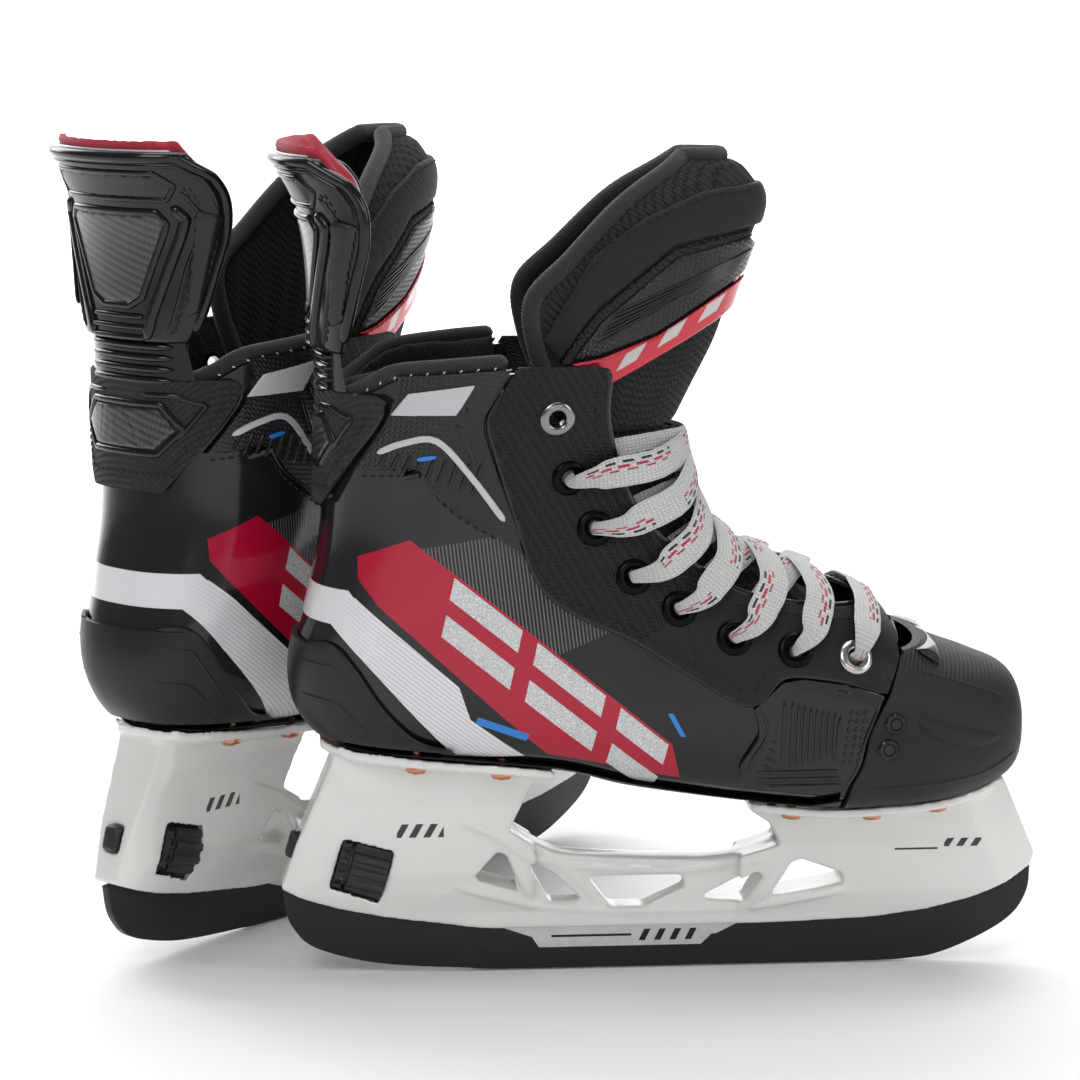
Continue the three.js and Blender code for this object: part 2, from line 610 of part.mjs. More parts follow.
const bridgeTop = drawn([[-47, 47], [-33, 39.5], [-13, 37.5], [9, 36.5], [17, 36.5], [28, 38], [39, 42]]);
const rearTowerSide = [
  ...holderFoot.slice(0, 7),
  ...drawn([[-40, 14.2], [-40, 43], [-48, 48], [-43, 59], [-40, 66], [-36, 80], [-104, 84], [-104, 73],
    [-111, 56], [-116, 44]]),
];
const frontTowerSide = [
  ...drawn([[26, 14.2]]),
  ...holderFoot.slice(7),
  ...drawn([[123, 36], [113, 59], [108, 70], [28, 66], [29, 54], [35, 50], [39, 42], [26, 38]]),
];
const rearWidths = [[3.7, 14], [4.6, 20], [7.6, 27], [9.2, 34], [9.4, 46], [10, 57], [11.4, 63], [12.4, 90]];
const frontWidths = [[3.7, 13], [5, 18], [8, 25], [9.6, 34], [11, 42], [13.4, 48], [15, 90]];
const towerOf = (side, widths, plan, low, high) =>
  prism(side)
    .intersect(frontPrism(widths.map(([y, z]) => [acrossY(y), upZ(z)]), low, high))
    .intersect(planPrism(plan.map(([x, y]) => [alongX(x), acrossY(y)]), 0, upZ(100)));
const rearTower = towerOf(
  rearTowerSide, rearWidths, [[-122, 4.4], [-114, 8], [-104, 10], [-96, 13], [-30, 13]], alongX(-130), alongX(-30),
);
const frontTower = towerOf(
  frontTowerSide, frontWidths, [[20, 16], [96, 16], [110, 9], [124, 4]], alongX(20), alongX(130),
);
const bridge = prism(
  [...drawn([[-62, 15], [-52, 14.2], [34, 14.2], [60, 15]]), ...bridgeTop.reverse()], -acrossY(4.6), acrossY(4.6),
);
const bridgeHoles = [
  [[-60, 33], [-53, 39], [-50, 39], [-44, 27], [-58, 31]],
  [[-43, 37], [-36, 25.5], [-25, 23.5], [-24, 24.5], [-36, 33]],
  [[-23, 29.5], [-14, 22.5], [-4, 22.5], [8, 28.5], [8, 29.5], [-22, 30.5]],
  [[13, 23], [27, 23], [35, 32], [32, 32]],
  [[36, 24], [44, 35], [46, 35], [59, 31], [59, 29]],
].map((outline) => prism(drawn(outline)));
const footPlates = band(OUTSOLE + 2 * GAP, OUTSOLE + 2 * GAP + FLANGE).intersect(
  planPrism([[-108, 6], [-101, 15], [-90, 19], [-36, 20], [-34, 19]].map(([x, y]) => [alongX(x), acrossY(y)]),
    upZ(60), upZ(84))
    .add(planPrism([[28, 22], [31, 24], [70, 25], [94, 22], [106, 13], [111, 6]]
      .map(([x, y]) => [alongX(x), acrossY(y)]), upZ(45), upZ(74))),
);
const plugAt = (grow) => onLockBox(-(25.5 + grow), -(20 - grow), 3.1 + grow, 4.3 + grow);
const holder = joined([rearTower, frontTower, bridge])
  .subtract(form(OUTSOLE + 2 * GAP))
  .add(footPlates)
  .subtract(joined(bridgeHoles))
  .subtract(runnerSlot)
  .subtract(wheelPocket)
  .subtract(rod(onLock(-18), onLock(0), SCREW_RADIUS + 2 * GAP))
  .subtract(onLockBox(0, clampTo + GAP, CLAMP_HALF_WIDE + GAP, CLAMP_HALF_TALL + GAP))
  .subtract(plugAt(GAP))
  .subtract(rivetHoles);

// ---------------------------------------------------------------- blade lock
function ribbedWheel() {
  const outline = [];
  for (let rib = 0; rib < WHEEL_RIBS; rib++)
    for (const [share, depth] of [[0, 0], [0.5, 0], [0.6, WHEEL_RIB_DEPTH], [0.9, WHEEL_RIB_DEPTH]]) {
      const turn = (2 * Math.PI * (rib + share)) / WHEEL_RIBS;
      const radius = WHEEL_RADIUS - depth;
      outline.push(new THREE.Vector2(radius * Math.cos(turn), radius * Math.sin(turn)));
    }
  const shape = new THREE.Shape(outline);
  const geometry = new THREE.ExtrudeGeometry(shape, { depth: WHEEL_LENGTH, bevelEnabled: false });
  geometry.translate(0, 0, -WHEEL_LENGTH / 2).rotateY(Math.PI / 2 + LOCK_TILT);
  const bore = rod(onLock(-20), onLock(20), SCREW_RADIUS + GAP);
  return solid(geometry.translate(lockSpot.x, 0, lockSpot.z)).subtract(bore);
}
const lockScrew = rod(onLock(-17.5), onLock(clampTo - 3), SCREW_RADIUS);
const lockClamp = onLockBox(clampFrom, clampTo, CLAMP_HALF_WIDE, CLAMP_HALF_TALL).subtract(
  rod(onLock(0), onLock(40), SCREW_RADIUS + 2 * GAP),
);

// ---------------------------------------------------------------- one skate
const pieces = [
  ["shell", shell, finish.shell],
  ["heel_counter", heelCounter, finish.cap],
  ["toe_cap", toeCap, finish.cap],
  ["toe_ridge", toeRidge, finish.moulding],
  ["outsole", outsole, finish.outsole],
  ["lateral_facing", facings[LATERAL].sheet, finish.facing],
  ["medial_facing", facings[MEDIAL].sheet, finish.facing],
  ["lateral_eyelets", facings[LATERAL].eyelets, finish.eyelet],
  ["medial_eyelets", facings[MEDIAL].eyelets, finish.eyelet],
  ["lateral_collar_panel", overlay.intersect(halfOf(collarOutline, LATERAL)), finish.moulding],
  ["medial_collar_panel", overlay.intersect(halfOf(collarOutline, MEDIAL)), finish.moulding],
  ["lateral_side_panel", overlay.intersect(halfOf(sidePanelOutline, LATERAL)), finish.moulding],
  ["medial_side_panel", overlay.intersect(halfOf(sidePanelOutline, MEDIAL)), finish.moulding],
  ["liner", liner, finish.liner],
  ["footbed", footbed, finish.liner],
  ["tongue_lower", tongueLower, finish.tongue],
  ["tongue_upper", tongueUpper, finish.tongue],
  ["tongue_badge", badge, finish.badge],
  ["guard_base", guardBase, finish.moulding],
  ["guard_flex_ribs", guardFlex, finish.moulding],
  ["guard_upper", guardUpper, finish.moulding],
  ["guard_felt", guardFelt, finish.felt],
  ["lace", lace(), finish.lace],
  ["holder", holder, finish.holder],
  ["runner", runner, finish.runner],
  ["rear_rivets", rearRivets.body, finish.rivet],
  ["front_rivets", frontRivets.body, finish.rivet],
  ["lock_wheel", ribbedWheel(), finish.wheel],
  ["lock_screw", lockScrew, finish.steel],
  ["lock_clamp", lockClamp, finish.steel],
].map(([name, body, material]) => [name, geometryOf(body), material]);

function skate(prefix) {
  const group = new THREE.Group();
  for (const [name, geometry, material] of pieces) {
    const mesh = new THREE.Mesh(geometry, material);
    mesh.name = `${prefix}_${name}`;
    group.add(mesh);
  }
  return group;
}

// ---------------------------------------------------------------- the pair
const LEFT_SPOT = [-91.5, 93]; // under the middle of the left runner
const LEFT_HEADING = THREE.MathUtils.degToRad(44.5); // its toe turned away from the right skate

const pair = new THREE.Group();
const right = skate("right");
const left = skate("left");
left.scale.y = -1;
const leftPlace = new THREE.Group();
leftPlace.add(left);
leftPlace.position.set(LEFT_SPOT[0], LEFT_SPOT[1], 0);
leftPlace.rotation.z = LEFT_HEADING;
pair.add(right, leftPlace);

export default pair;
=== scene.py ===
"""A pair of ice hockey skates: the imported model's frame, dressed with fine moulded,
stitched and laced pieces. Each piece is made once in the right skate's own frame, in
metres, and its mirrored copy is set down in the left skate's place."""
import json
import math

import bmesh
import bpy
import numpy as np
from mathutils import Matrix, Vector
from mathutils.bvhtree import BVHTree

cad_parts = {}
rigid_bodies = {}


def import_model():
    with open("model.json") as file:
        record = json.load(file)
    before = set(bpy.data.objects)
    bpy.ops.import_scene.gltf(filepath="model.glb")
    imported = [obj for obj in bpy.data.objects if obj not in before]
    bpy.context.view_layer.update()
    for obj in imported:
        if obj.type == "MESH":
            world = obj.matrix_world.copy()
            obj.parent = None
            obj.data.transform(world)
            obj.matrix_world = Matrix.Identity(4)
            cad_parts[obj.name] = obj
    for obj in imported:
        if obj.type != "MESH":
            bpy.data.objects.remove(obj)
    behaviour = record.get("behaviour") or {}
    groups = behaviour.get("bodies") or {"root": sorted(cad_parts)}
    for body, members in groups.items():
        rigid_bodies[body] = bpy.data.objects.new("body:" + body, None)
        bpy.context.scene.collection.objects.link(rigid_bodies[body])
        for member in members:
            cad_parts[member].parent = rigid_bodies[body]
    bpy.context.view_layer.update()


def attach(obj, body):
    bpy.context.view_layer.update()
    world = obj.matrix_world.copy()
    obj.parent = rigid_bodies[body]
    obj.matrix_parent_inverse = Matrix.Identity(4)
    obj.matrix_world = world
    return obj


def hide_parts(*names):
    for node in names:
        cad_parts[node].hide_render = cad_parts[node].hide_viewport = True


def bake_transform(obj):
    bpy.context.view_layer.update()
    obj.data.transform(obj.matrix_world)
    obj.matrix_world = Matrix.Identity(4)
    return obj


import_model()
MM = 0.001

# ------------------------------------------------------------------ where the skates stand
LEFT_SPOT = Vector((-0.0915, 0.093, 0))
LEFT_HEADING = math.radians(44.5)
MIRROR = Matrix.Scale(-1, 4, (0, 1, 0))
LEFT_PLACE = Matrix.Translation(LEFT_SPOT) @ Matrix.Rotation(LEFT_HEADING, 4, "Z") @ MIRROR
LATERAL, MEDIAL = -1, 1

# ------------------------------------------------------------------ camera first
CAMERA_SPOT = Vector((-0.1245, -1.1441, 0.3543))
CAMERA_AIM = Vector((0.0745, 0.9803, -0.1831))
camera_data = bpy.data.cameras.new("camera")
camera_data.lens = 122.7
camera_data.sensor_width = 36
camera_data.clip_start = 0.05
camera = bpy.data.objects.new("camera", camera_data)
camera.location = CAMERA_SPOT
camera.rotation_euler = CAMERA_AIM.to_track_quat("-Z", "Y").to_euler()
bpy.context.scene.collection.objects.link(camera)
bpy.context.scene.camera = camera

# ------------------------------------------------------------------ the boot's form
# Ribs from toe to collar: sole x, sole z, instep x, instep z, half width, squareness.
RIBS = np.array([
    [115.5, 79, 115.5, 85, 7, 2.5],
    [112.5, 67, 112, 95, 20, 2.6],
    [103, 62, 100.5, 100.5, 30, 2.8],
    [88, 59, 85, 106.5, 36.5, 3.2],
    [70, 57.8, 69, 118, 39, 3.5],
    [46, 58, 49, 129, 40.5, 3.5],
    [-8, 65, 22, 141, 37, 3.4],
    [-34, 70.5, 11, 155, 34.5, 3.3],
    [-86, 74.5, 6, 176, 32, 3],
    [-103, 78.5, 6, 183, 31.5, 2.7],
    [-113, 88, 6, 188, 31.5, 2.5],
    [-116, 101, 6, 192, 32.5, 2.5],
    [-112.5, 121, 7, 196, 33.5, 2.4],
    [-107.5, 145, 8, 201, 34.5, 2.4],
    [-105, 185, 9.5, 209, 37, 2.4],
    [-106, 236, 12, 238, 37, 2.4], ])
INSTEP_SQUARENESS = 2.3
TOE_TURN = 3
RIB_STEPS, ROUND_STEPS = 7, 88


def ribs_between():
    """The ribs with smooth ones in between."""
    ends = np.vstack([2 * RIBS[0] - RIBS[1], RIBS, 2 * RIBS[-1] - RIBS[-2]])
    rows = []
    for i in range(1, len(ends) - 2):
        a, b, c, d = ends[i - 1], ends[i], ends[i + 1], ends[i + 2]
        for t in np.arange(RIB_STEPS) / RIB_STEPS:
            m0, m1 = (c - a) / 2, (d - b) / 2
            rows.append((2 * t**3 - 3 * t**2 + 1) * b + (t**3 - 2 * t**2 + t) * m0
                        + (3 * t**2 - 2 * t**3) * c + (t**3 - t**2) * m1)
    return np.array(rows + [RIBS[-1]])


def form_grid():
    """Points of the form, ring by ring, in millimetres."""
    ribs = ribs_between()
    turn = 2 * np.pi * np.arange(ROUND_STEPS) / ROUND_STEPS
    c, s = np.cos(turn), np.sin(turn)
    points = np.zeros((len(ribs), ROUND_STEPS, 3))
    for row, (sx, sz, ix, iz, half, square) in enumerate(ribs):
        power = 2 / np.where(c < 0, square, INSTEP_SQUARENESS)
        along = np.sign(c) * np.abs(c) ** power
        across = np.sign(s) * np.abs(s) ** power
        points[row, :, 0] = (sx + ix) / 2 + along * (ix - sx) / 2
        points[row, :, 2] = (sz + iz) / 2 + along * (iz - sz) / 2
        points[row, :, 1] = half * across
    share = np.clip(points[..., 0] / 115, 0, 1)
    points[..., 1] += TOE_TURN * share**2 * (3 - 2 * share)
    return points


FORM = form_grid()


def form_normals():
    rings, count, _ = FORM.shape
    down = np.gradient(FORM, axis=0)
    around = np.roll(FORM, -1, axis=1) - np.roll(FORM, 1, axis=1)
    normal = np.cross(around, down)
    length = np.linalg.norm(normal, axis=2, keepdims=True)
    normal = normal / np.maximum(length, 1e-9)
    middle = FORM.mean(axis=1, keepdims=True)
    sign = np.sign(((FORM - middle) * normal).sum())
    return normal * sign


FORM_NORMAL = form_normals()


def deselect_all():
    if bpy.context.object and bpy.context.object.mode != "OBJECT":
        bpy.ops.object.mode_set(mode="OBJECT")
    bpy.ops.object.select_all(action="DESELECT")


def only(piece):
    deselect_all()
    piece.select_set(True)
    bpy.context.view_layer.objects.active = piece
    return piece


def mesh_piece(name, points, faces):
    data = bpy.data.meshes.new(name)
    data.from_pydata([tuple(p) for p in points], [], [tuple(f) for f in faces])
    data.validate()
    piece = bpy.data.objects.new(name, data)
    bpy.context.scene.collection.objects.link(piece)
    return piece


def outward(piece):
    """Merges doubles and turns every face outwards."""
    mesh = bmesh.new()
    mesh.from_mesh(piece.data)
    bmesh.ops.remove_doubles(mesh, verts=mesh.verts, dist=1e-7)
    bmesh.ops.recalc_face_normals(mesh, faces=mesh.faces)
    mesh.to_mesh(piece.data)
    mesh.free()
    return piece


def skin_rings(name, rings, closed=True, capped=True):
    """A mesh skinned from ring to ring, in metres from points in millimetres."""
    rows, count = len(rings), len(rings[0])
    points = [np.array(p) * MM for ring in rings for p in ring]
    faces = []
    for r in range(rows - 1):
        for k in range(count if closed else count - 1):
            n = (k + 1) % count
            faces.append((r * count + k, r * count + n, (r + 1) * count + n, (r + 1) * count + k))
    if capped:
        faces.append(tuple(range(count)))
        faces.append(tuple((rows - 1) * count + k for k in reversed(range(count))))
    return outward(mesh_piece(name, points, faces))


def form_solid(offset):
    return skin_rings(f"form_{offset:.2f}", FORM + offset * FORM_NORMAL)


TREES = {}


def tree(offset):
    key = round(offset, 2)
    if key not in TREES:
        points = FORM + offset * FORM_NORMAL
        rows, count, _ = points.shape
        faces = [(r * count + k, r * count + (k + 1) % count, (r + 1) * count + (k + 1) % count,
                  (r + 1) * count + k)
                 for r in range(rows - 1) for k in range(count)]
        TREES[key] = BVHTree.FromPolygons([tuple(p) for p in points.reshape(-1, 3)], faces)
    return TREES[key]


def meet(offset, start, direction):
    """Where a line first meets the form at an offset, in millimetres, and the normal there."""
    hit, normal, _, _ = tree(offset).ray_cast(Vector(start), Vector(direction))
    if hit is None:
        hit, normal, _, _ = tree(offset).find_nearest(Vector(start))
    if normal.dot(direction) > 0:
        normal = -normal
    return hit, normal


def on_side(x, z, offset, side):
    return meet(offset, (x, 200 * side, z), (0, -side, 0))


# ------------------------------------------------------------------ solids cut and joined
def prism(outline, low=-150, high=150, name="cutter"):
    """A side-view outline (x, z) drawn through from y = low to y = high, all in millimetres."""
    deselect_all()
    bpy.ops.mesh.primitive_circle_add(vertices=len(outline), fill_type="NGON")
    piece = bpy.context.object
    piece.name = name
    for vertex, (x, z) in zip(piece.data.vertices, outline):
        vertex.co = (x * MM, low * MM, z * MM)
    bpy.ops.object.mode_set(mode="EDIT")
    bpy.ops.mesh.select_all(action="SELECT")
    bpy.ops.mesh.extrude_region_move(TRANSFORM_OT_translate={"value": (0, (high - low) * MM, 0)})
    bpy.ops.mesh.select_all(action="SELECT")
    bpy.ops.mesh.normals_make_consistent(inside=False)
    bpy.ops.object.mode_set(mode="OBJECT")
    return piece


def combine(piece, other, operation, keep=False):
    only(piece)
    modifier = piece.modifiers.new("cut", "BOOLEAN")
    modifier.operation = operation
    modifier.object = other
    modifier.solver = "MANIFOLD"
    bpy.ops.object.modifier_apply(modifier=modifier.name)
    if not keep:
        bpy.data.objects.remove(other)
    return piece


def cut(piece, other, keep=False):
    return combine(piece, other, "DIFFERENCE", keep)


def within(piece, other, keep=False):
    return combine(piece, other, "INTERSECT", keep)


def join(piece, other, keep=False):
    return combine(piece, other, "UNION", keep)


def form_band(name, inner, outer):
    piece = form_solid(outer)
    piece.name = name
    return cut(piece, form_solid(inner))


def modified(piece, kind, **settings):
    only(piece)
    modifier = piece.modifiers.new(kind.lower(), kind)
    for key, value in settings.items():
        setattr(modifier, key, value)
    bpy.ops.object.modifier_apply(modifier=modifier.name)
    return piece


def rounded(piece, width, segments=2, angle=35):
    return modified(piece, "BEVEL", width=width * MM, segments=segments, limit_method="ANGLE",
                    angle_limit=math.radians(angle), use_clamp_overlap=True, harden_normals=False)


def smoothed(piece, angle=35):
    only(piece)
    bpy.ops.object.shade_smooth_by_angle(angle=math.radians(angle))
    return piece


def joined_up(pieces, name):
    deselect_all()
    for piece in pieces:
        piece.select_set(True)
    bpy.context.view_layer.objects.active = pieces[0]
    bpy.ops.object.join()
    pieces[0].name = name
    return pieces[0]


def store_place(piece):
    """Keeps each point's place on its own skate, which the materials read."""
    layer = piece.data.attributes.new("place", "FLOAT_VECTOR", "POINT")
    coordinates = np.empty(len(piece.data.vertices) * 3, dtype=np.float32)
    piece.data.vertices.foreach_get("co", coordinates)
    layer.data.foreach_set("vector", coordinates)


def on_both_skates(piece, materials, body="root", replaces=(), name=None, also=None):
    """Finishes the right skate's piece and sets its mirror image on the left skate."""
    name = name or piece.name
    materials = materials if isinstance(materials, (list, tuple)) else [materials]
    piece.data.materials.clear()
    for material in materials:
        piece.data.materials.append(material)
    store_place(piece)
    twin = piece.copy()
    twin.data = piece.data.copy()
    bpy.context.scene.collection.objects.link(twin)
    twin.data.transform(LEFT_PLACE)
    twin.data.flip_normals()
    pair = []
    for side, copy in (("right", piece), ("left", twin)):
        copy.name = f"{side}_{name}"
        copy.data.name = copy.name
        if replaces:
            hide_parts(*[f"{side}_{node}" for node in replaces])
        if isinstance(body, tuple):
            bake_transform(copy)
        else:
            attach(copy, body.format(side))
        if also:
            also(copy)
        pair.append(copy)
    return pair


# ------------------------------------------------------------------ finishes
def effect(name, inputs, outputs):
    """An empty shader group with named sockets, and its input and output nodes."""
    group = bpy.data.node_groups.new(name, "ShaderNodeTree")
    for label, kind in inputs:
        group.interface.new_socket(name=label, in_out="INPUT", socket_type=kind)
    for label, kind in outputs:
        group.interface.new_socket(name=label, in_out="OUTPUT", socket_type=kind)
    return group, group.nodes.new("NodeGroupInput"), group.nodes.new("NodeGroupOutput")


class Wiring:
    """Adds nodes to one node tree."""

    def __init__(self, node_tree):
        self.nodes, self.links = node_tree.nodes, node_tree.links

    def put(self, kind, links=(), **values):
        node = self.nodes.new(kind)
        for key, value in values.items():
            setattr(node, key, value)
        for socket, source in dict(links).items():
            if isinstance(source, bpy.types.NodeSocket):
                self.links.new(source, node.inputs[socket])
            else:
                node.inputs[socket].default_value = source
        return node

    def math(self, operation, a, b=0.0, c=0.0):
        return self.put("ShaderNodeMath", {0: a, 1: b, 2: c}, operation=operation).outputs[0]

    def both(self, a, b):
        return self.math("MULTIPLY", a, b)

    def either(self, a, b):
        return self.math("MAXIMUM", a, b)

    def invert(self, a):
        return self.math("SUBTRACT", 1.0, a)

    def between(self, value, low, high):
        return self.both(self.math("GREATER_THAN", value, low), self.math("LESS_THAN", value, high))

    def ramp(self, value, low, high):
        return self.put("ShaderNodeMapRange", {0: value, 1: low, 2: high, 3: 0.0, 4: 1.0},
                        interpolation_type="SMOOTHSTEP").outputs[0]

    def blend(self, mask, first, second):
        return self.put("ShaderNodeMix", {0: mask, 6: first, 7: second}, data_type="RGBA").outputs[2]

    def number(self, mask, first, second):
        return self.put("ShaderNodeMix", {0: mask, 2: first, 3: second}, data_type="FLOAT").outputs[0]

    def noise(self, vector, scale, detail=3.0, roughness=0.5):
        node = self.put("ShaderNodeTexNoise", {"Scale": scale, "Detail": detail, "Roughness": roughness})
        self.links.new(vector, node.inputs["Vector"])
        return node.outputs[0]

    def along(self, vector, x, y, z, shift=0.0):
        """How far a place lies along a direction, in millimetres where the place is in metres."""
        dot = self.put("ShaderNodeVectorMath", {0: vector, 1: (x, y, z)}, operation="DOT_PRODUCT").outputs[1]
        return self.math("MULTIPLY_ADD", dot, 1000.0, -shift)

    def polygon(self, vector, points):
        """A mask that is 1 inside a convex outline (x, z) in millimetres, seen from the side."""
        mask = None
        middle = np.mean(points, axis=0)
        for (x0, z0), (x1, z1) in zip(points, list(points[1:]) + [points[0]]):
            across = np.array([-(z1 - z0), x1 - x0], float)
            across /= np.linalg.norm(across)
            if across @ (middle - (x0, z0)) < 0:
                across = -across
            far = self.along(vector, across[0], 0, across[1], float(across @ (x0, z0)))
            side = self.put("ShaderNodeMapRange", {0: far, 1: -0.06, 2: 0.06}).outputs[0]
            mask = side if mask is None else self.math("MINIMUM", mask, side)
        return mask

    def stripes(self, value, pitch, share=0.5):
        """1 on the stripes of a value in millimetres, 0 between them."""
        phase = self.math("FRACT", self.math("DIVIDE", value, pitch))
        return self.math("LESS_THAN", phase, share)

    def ridges(self, value, pitch):
        """A smooth wave of a value in millimetres, from 0 to 1."""
        wave = self.math("SINE", self.math("MULTIPLY", value, 2 * math.pi / pitch))
        return self.math("MULTIPLY_ADD", wave, 0.5, 0.5)

    def effect(self, group, **links):
        node = self.nodes.new("ShaderNodeGroup")
        node.node_tree = group
        for label, source in links.items():
            if isinstance(source, bpy.types.NodeSocket):
                self.links.new(source, node.inputs[label])
            else:
                node.inputs[label].default_value = source
        return node.outputs


def build_grain():
    """Pebbled grain: rounded cells with fine noise over them."""
    group, into, out = effect("pebbled grain", [("Place", "NodeSocketVector"), ("Scale", "NodeSocketFloat")],
                              [("Height", "NodeSocketFloat")])
    w = Wiring(group)
    cells = w.put("ShaderNodeTexVoronoi", {"Vector": into.outputs[0], "Scale": into.outputs[1]},
                  feature="SMOOTH_F1")
    fine = w.put("ShaderNodeTexNoise", {"Vector": into.outputs[0], "Detail": 2.0})
    group.links.new(w.math("MULTIPLY", into.outputs[1], 2.2), fine.inputs["Scale"])
    height = w.math("MULTIPLY_ADD", fine.outputs[0], 0.5, cells.outputs[0])
    group.links.new(height, out.inputs[0])
    return group


def build_weave():
    """Plain weave: threads of two directions that pass over and under."""
    group, into, out = effect("weave", [("Along", "NodeSocketFloat"), ("Across", "NodeSocketFloat"),
                                        ("Pitch", "NodeSocketFloat")], [("Height", "NodeSocketFloat")])
    w = Wiring(group)
    turns = [w.math("MULTIPLY", w.math("DIVIDE", into.outputs[k], into.outputs[2]), math.pi) for k in (0, 1)]
    warp = w.math("ABSOLUTE", w.math("SINE", turns[0]))
    weft = w.math("ABSOLUTE", w.math("SINE", turns[1]))
    checker = w.math("MULTIPLY", w.math("SINE", w.math("MULTIPLY", turns[0], 1.0)),
                     w.math("SINE", w.math("MULTIPLY", turns[1], 1.0)))
    over = w.math("GREATER_THAN", checker, 0.0)
    height = w.number(over, warp, weft)
    group.links.new(height, out.inputs[0])
    return group


def build_twill():
    """Twill squares, as carbon cloth shows under a clear coat: a shade and a height."""
    group, into, out = effect("twill", [("Along", "NodeSocketFloat"), ("Across", "NodeSocketFloat"),
                                        ("Pitch", "NodeSocketFloat")],
                              [("Shade", "NodeSocketFloat"), ("Height", "NodeSocketFloat")])
    w = Wiring(group)
    u = w.math("DIVIDE", into.outputs[0], into.outputs[2])
    v = w.math("DIVIDE", into.outputs[1], into.outputs[2])
    step = w.math("FLOOR", v)
    shifted = w.math("MULTIPLY_ADD", step, 0.5, u)
    phase = w.math("FRACT", w.math("MULTIPLY", shifted, 0.5))
    shade = w.math("LESS_THAN", phase, 0.5)
    row = w.math("ABSOLUTE", w.math("SINE", w.math("MULTIPLY", v, math.pi)))
    column = w.math("ABSOLUTE", w.math("SINE", w.math("MULTIPLY", shifted, math.pi)))
    group.links.new(shade, out.inputs[0])
    group.links.new(w.math("MULTIPLY", row, column), out.inputs[1])
    return group


def build_handling():
    """Handling marks: smears and fine scratches that change the gloss."""
    group, into, out = effect("handling marks", [("Place", "NodeSocketVector"), ("Gloss", "NodeSocketFloat"),
                                                 ("Spread", "NodeSocketFloat")],
                              [("Roughness", "NodeSocketFloat")])
    w = Wiring(group)
    smear = w.noise(into.outputs[0], 38.0, 5.0, 0.6)
    fine = w.noise(into.outputs[0], 420.0, 3.0, 0.7)
    mixed = w.math("MULTIPLY_ADD", fine, 0.4, w.math("MULTIPLY", smear, 0.6))
    off = w.math("MULTIPLY", w.math("SUBTRACT", mixed, 0.5), into.outputs[2])
    group.links.new(w.math("ADD", into.outputs[1], off), out.inputs[0])
    return group


GRAIN, WEAVE, TWILL, HANDLING = build_grain(), build_weave(), build_twill(), build_handling()


class Finish(Wiring):
    """A material: its shader, and the place on the skate that its patterns read."""

    def __init__(self, name, colour, roughness, **sockets):
        self.material = bpy.data.materials.new(name)
        self.material.use_nodes = True
        super().__init__(self.material.node_tree)
        self.shader = self.nodes["Principled BSDF"]
        self.shader.inputs["Base Color"].default_value = (*colour, 1)
        self.shader.inputs["Roughness"].default_value = roughness
        for key, value in sockets.items():
            self.shader.inputs[key.replace("_", " ")].default_value = value
        self.place = self.put("ShaderNodeAttribute", attribute_name="place").outputs["Vector"]
        self.normal = None

    def x(self, shift=0.0):
        return self.along(self.place, 1, 0, 0, shift)

    def y(self, shift=0.0):
        return self.along(self.place, 0, 1, 0, shift)

    def z(self, shift=0.0):
        return self.along(self.place, 0, 0, 1, shift)

    def colour(self, source):
        self.links.new(source, self.shader.inputs["Base Color"])
        return self

    def gloss(self, source):
        self.links.new(source, self.shader.inputs["Roughness"])
        return self

    def metal(self, source):
        self.links.new(source, self.shader.inputs["Metallic"])
        return self

    def raise_by(self, height, depth, strength=1.0):
        """Bump of a height from 0 to 1, depth in millimetres."""
        links = {"Height": height, "Distance": depth * MM, "Strength": strength}
        if self.normal is not None:
            links["Normal"] = self.normal
        self.normal = self.put("ShaderNodeBump", links).outputs[0]
        self.links.new(self.normal, self.shader.inputs["Normal"])
        return self

    def worn(self, gloss, spread):
        return self.gloss(self.effect(HANDLING, Place=self.place, Gloss=gloss, Spread=spread)[0])


def rgb(red, green, blue):
    return (red, green, blue, 1)


BLACK = rgb(0.0035, 0.0035, 0.004)
CHARCOAL = rgb(0.014, 0.014, 0.016)
CRIMSON = rgb(0.43, 0.004, 0.03)
WHITE = rgb(0.72, 0.73, 0.75)
BLUE = rgb(0.02, 0.2, 0.62)

PANEL = [(-96, 141), (-80, 147), (1, 82), (4, 70), (-37, 77), (-90, 126), (-96, 134)]
HEEL_STRIPE = [(-135, 120.5), (-104, 119), (-97, 127.5), (-99, 130), (-135, 130.5)]
SLANT_STRIPE = [(-104.5, 119), (-67, 77), (-61, 88), (-65, 100), (-97, 128)]
STRIPE_FOOT = [(-70, 74), (-44, 76), (-61, 89), (-66, 90)]
MIDLINE = -0.626 * 44 + 0.78 * 106  # along the middle of the panel
TICKS = [(-102, 140), (-97, 128), (-62, 98), (-57.5, 100), (-90, 127.6), (-96, 135), (-96, 141)]


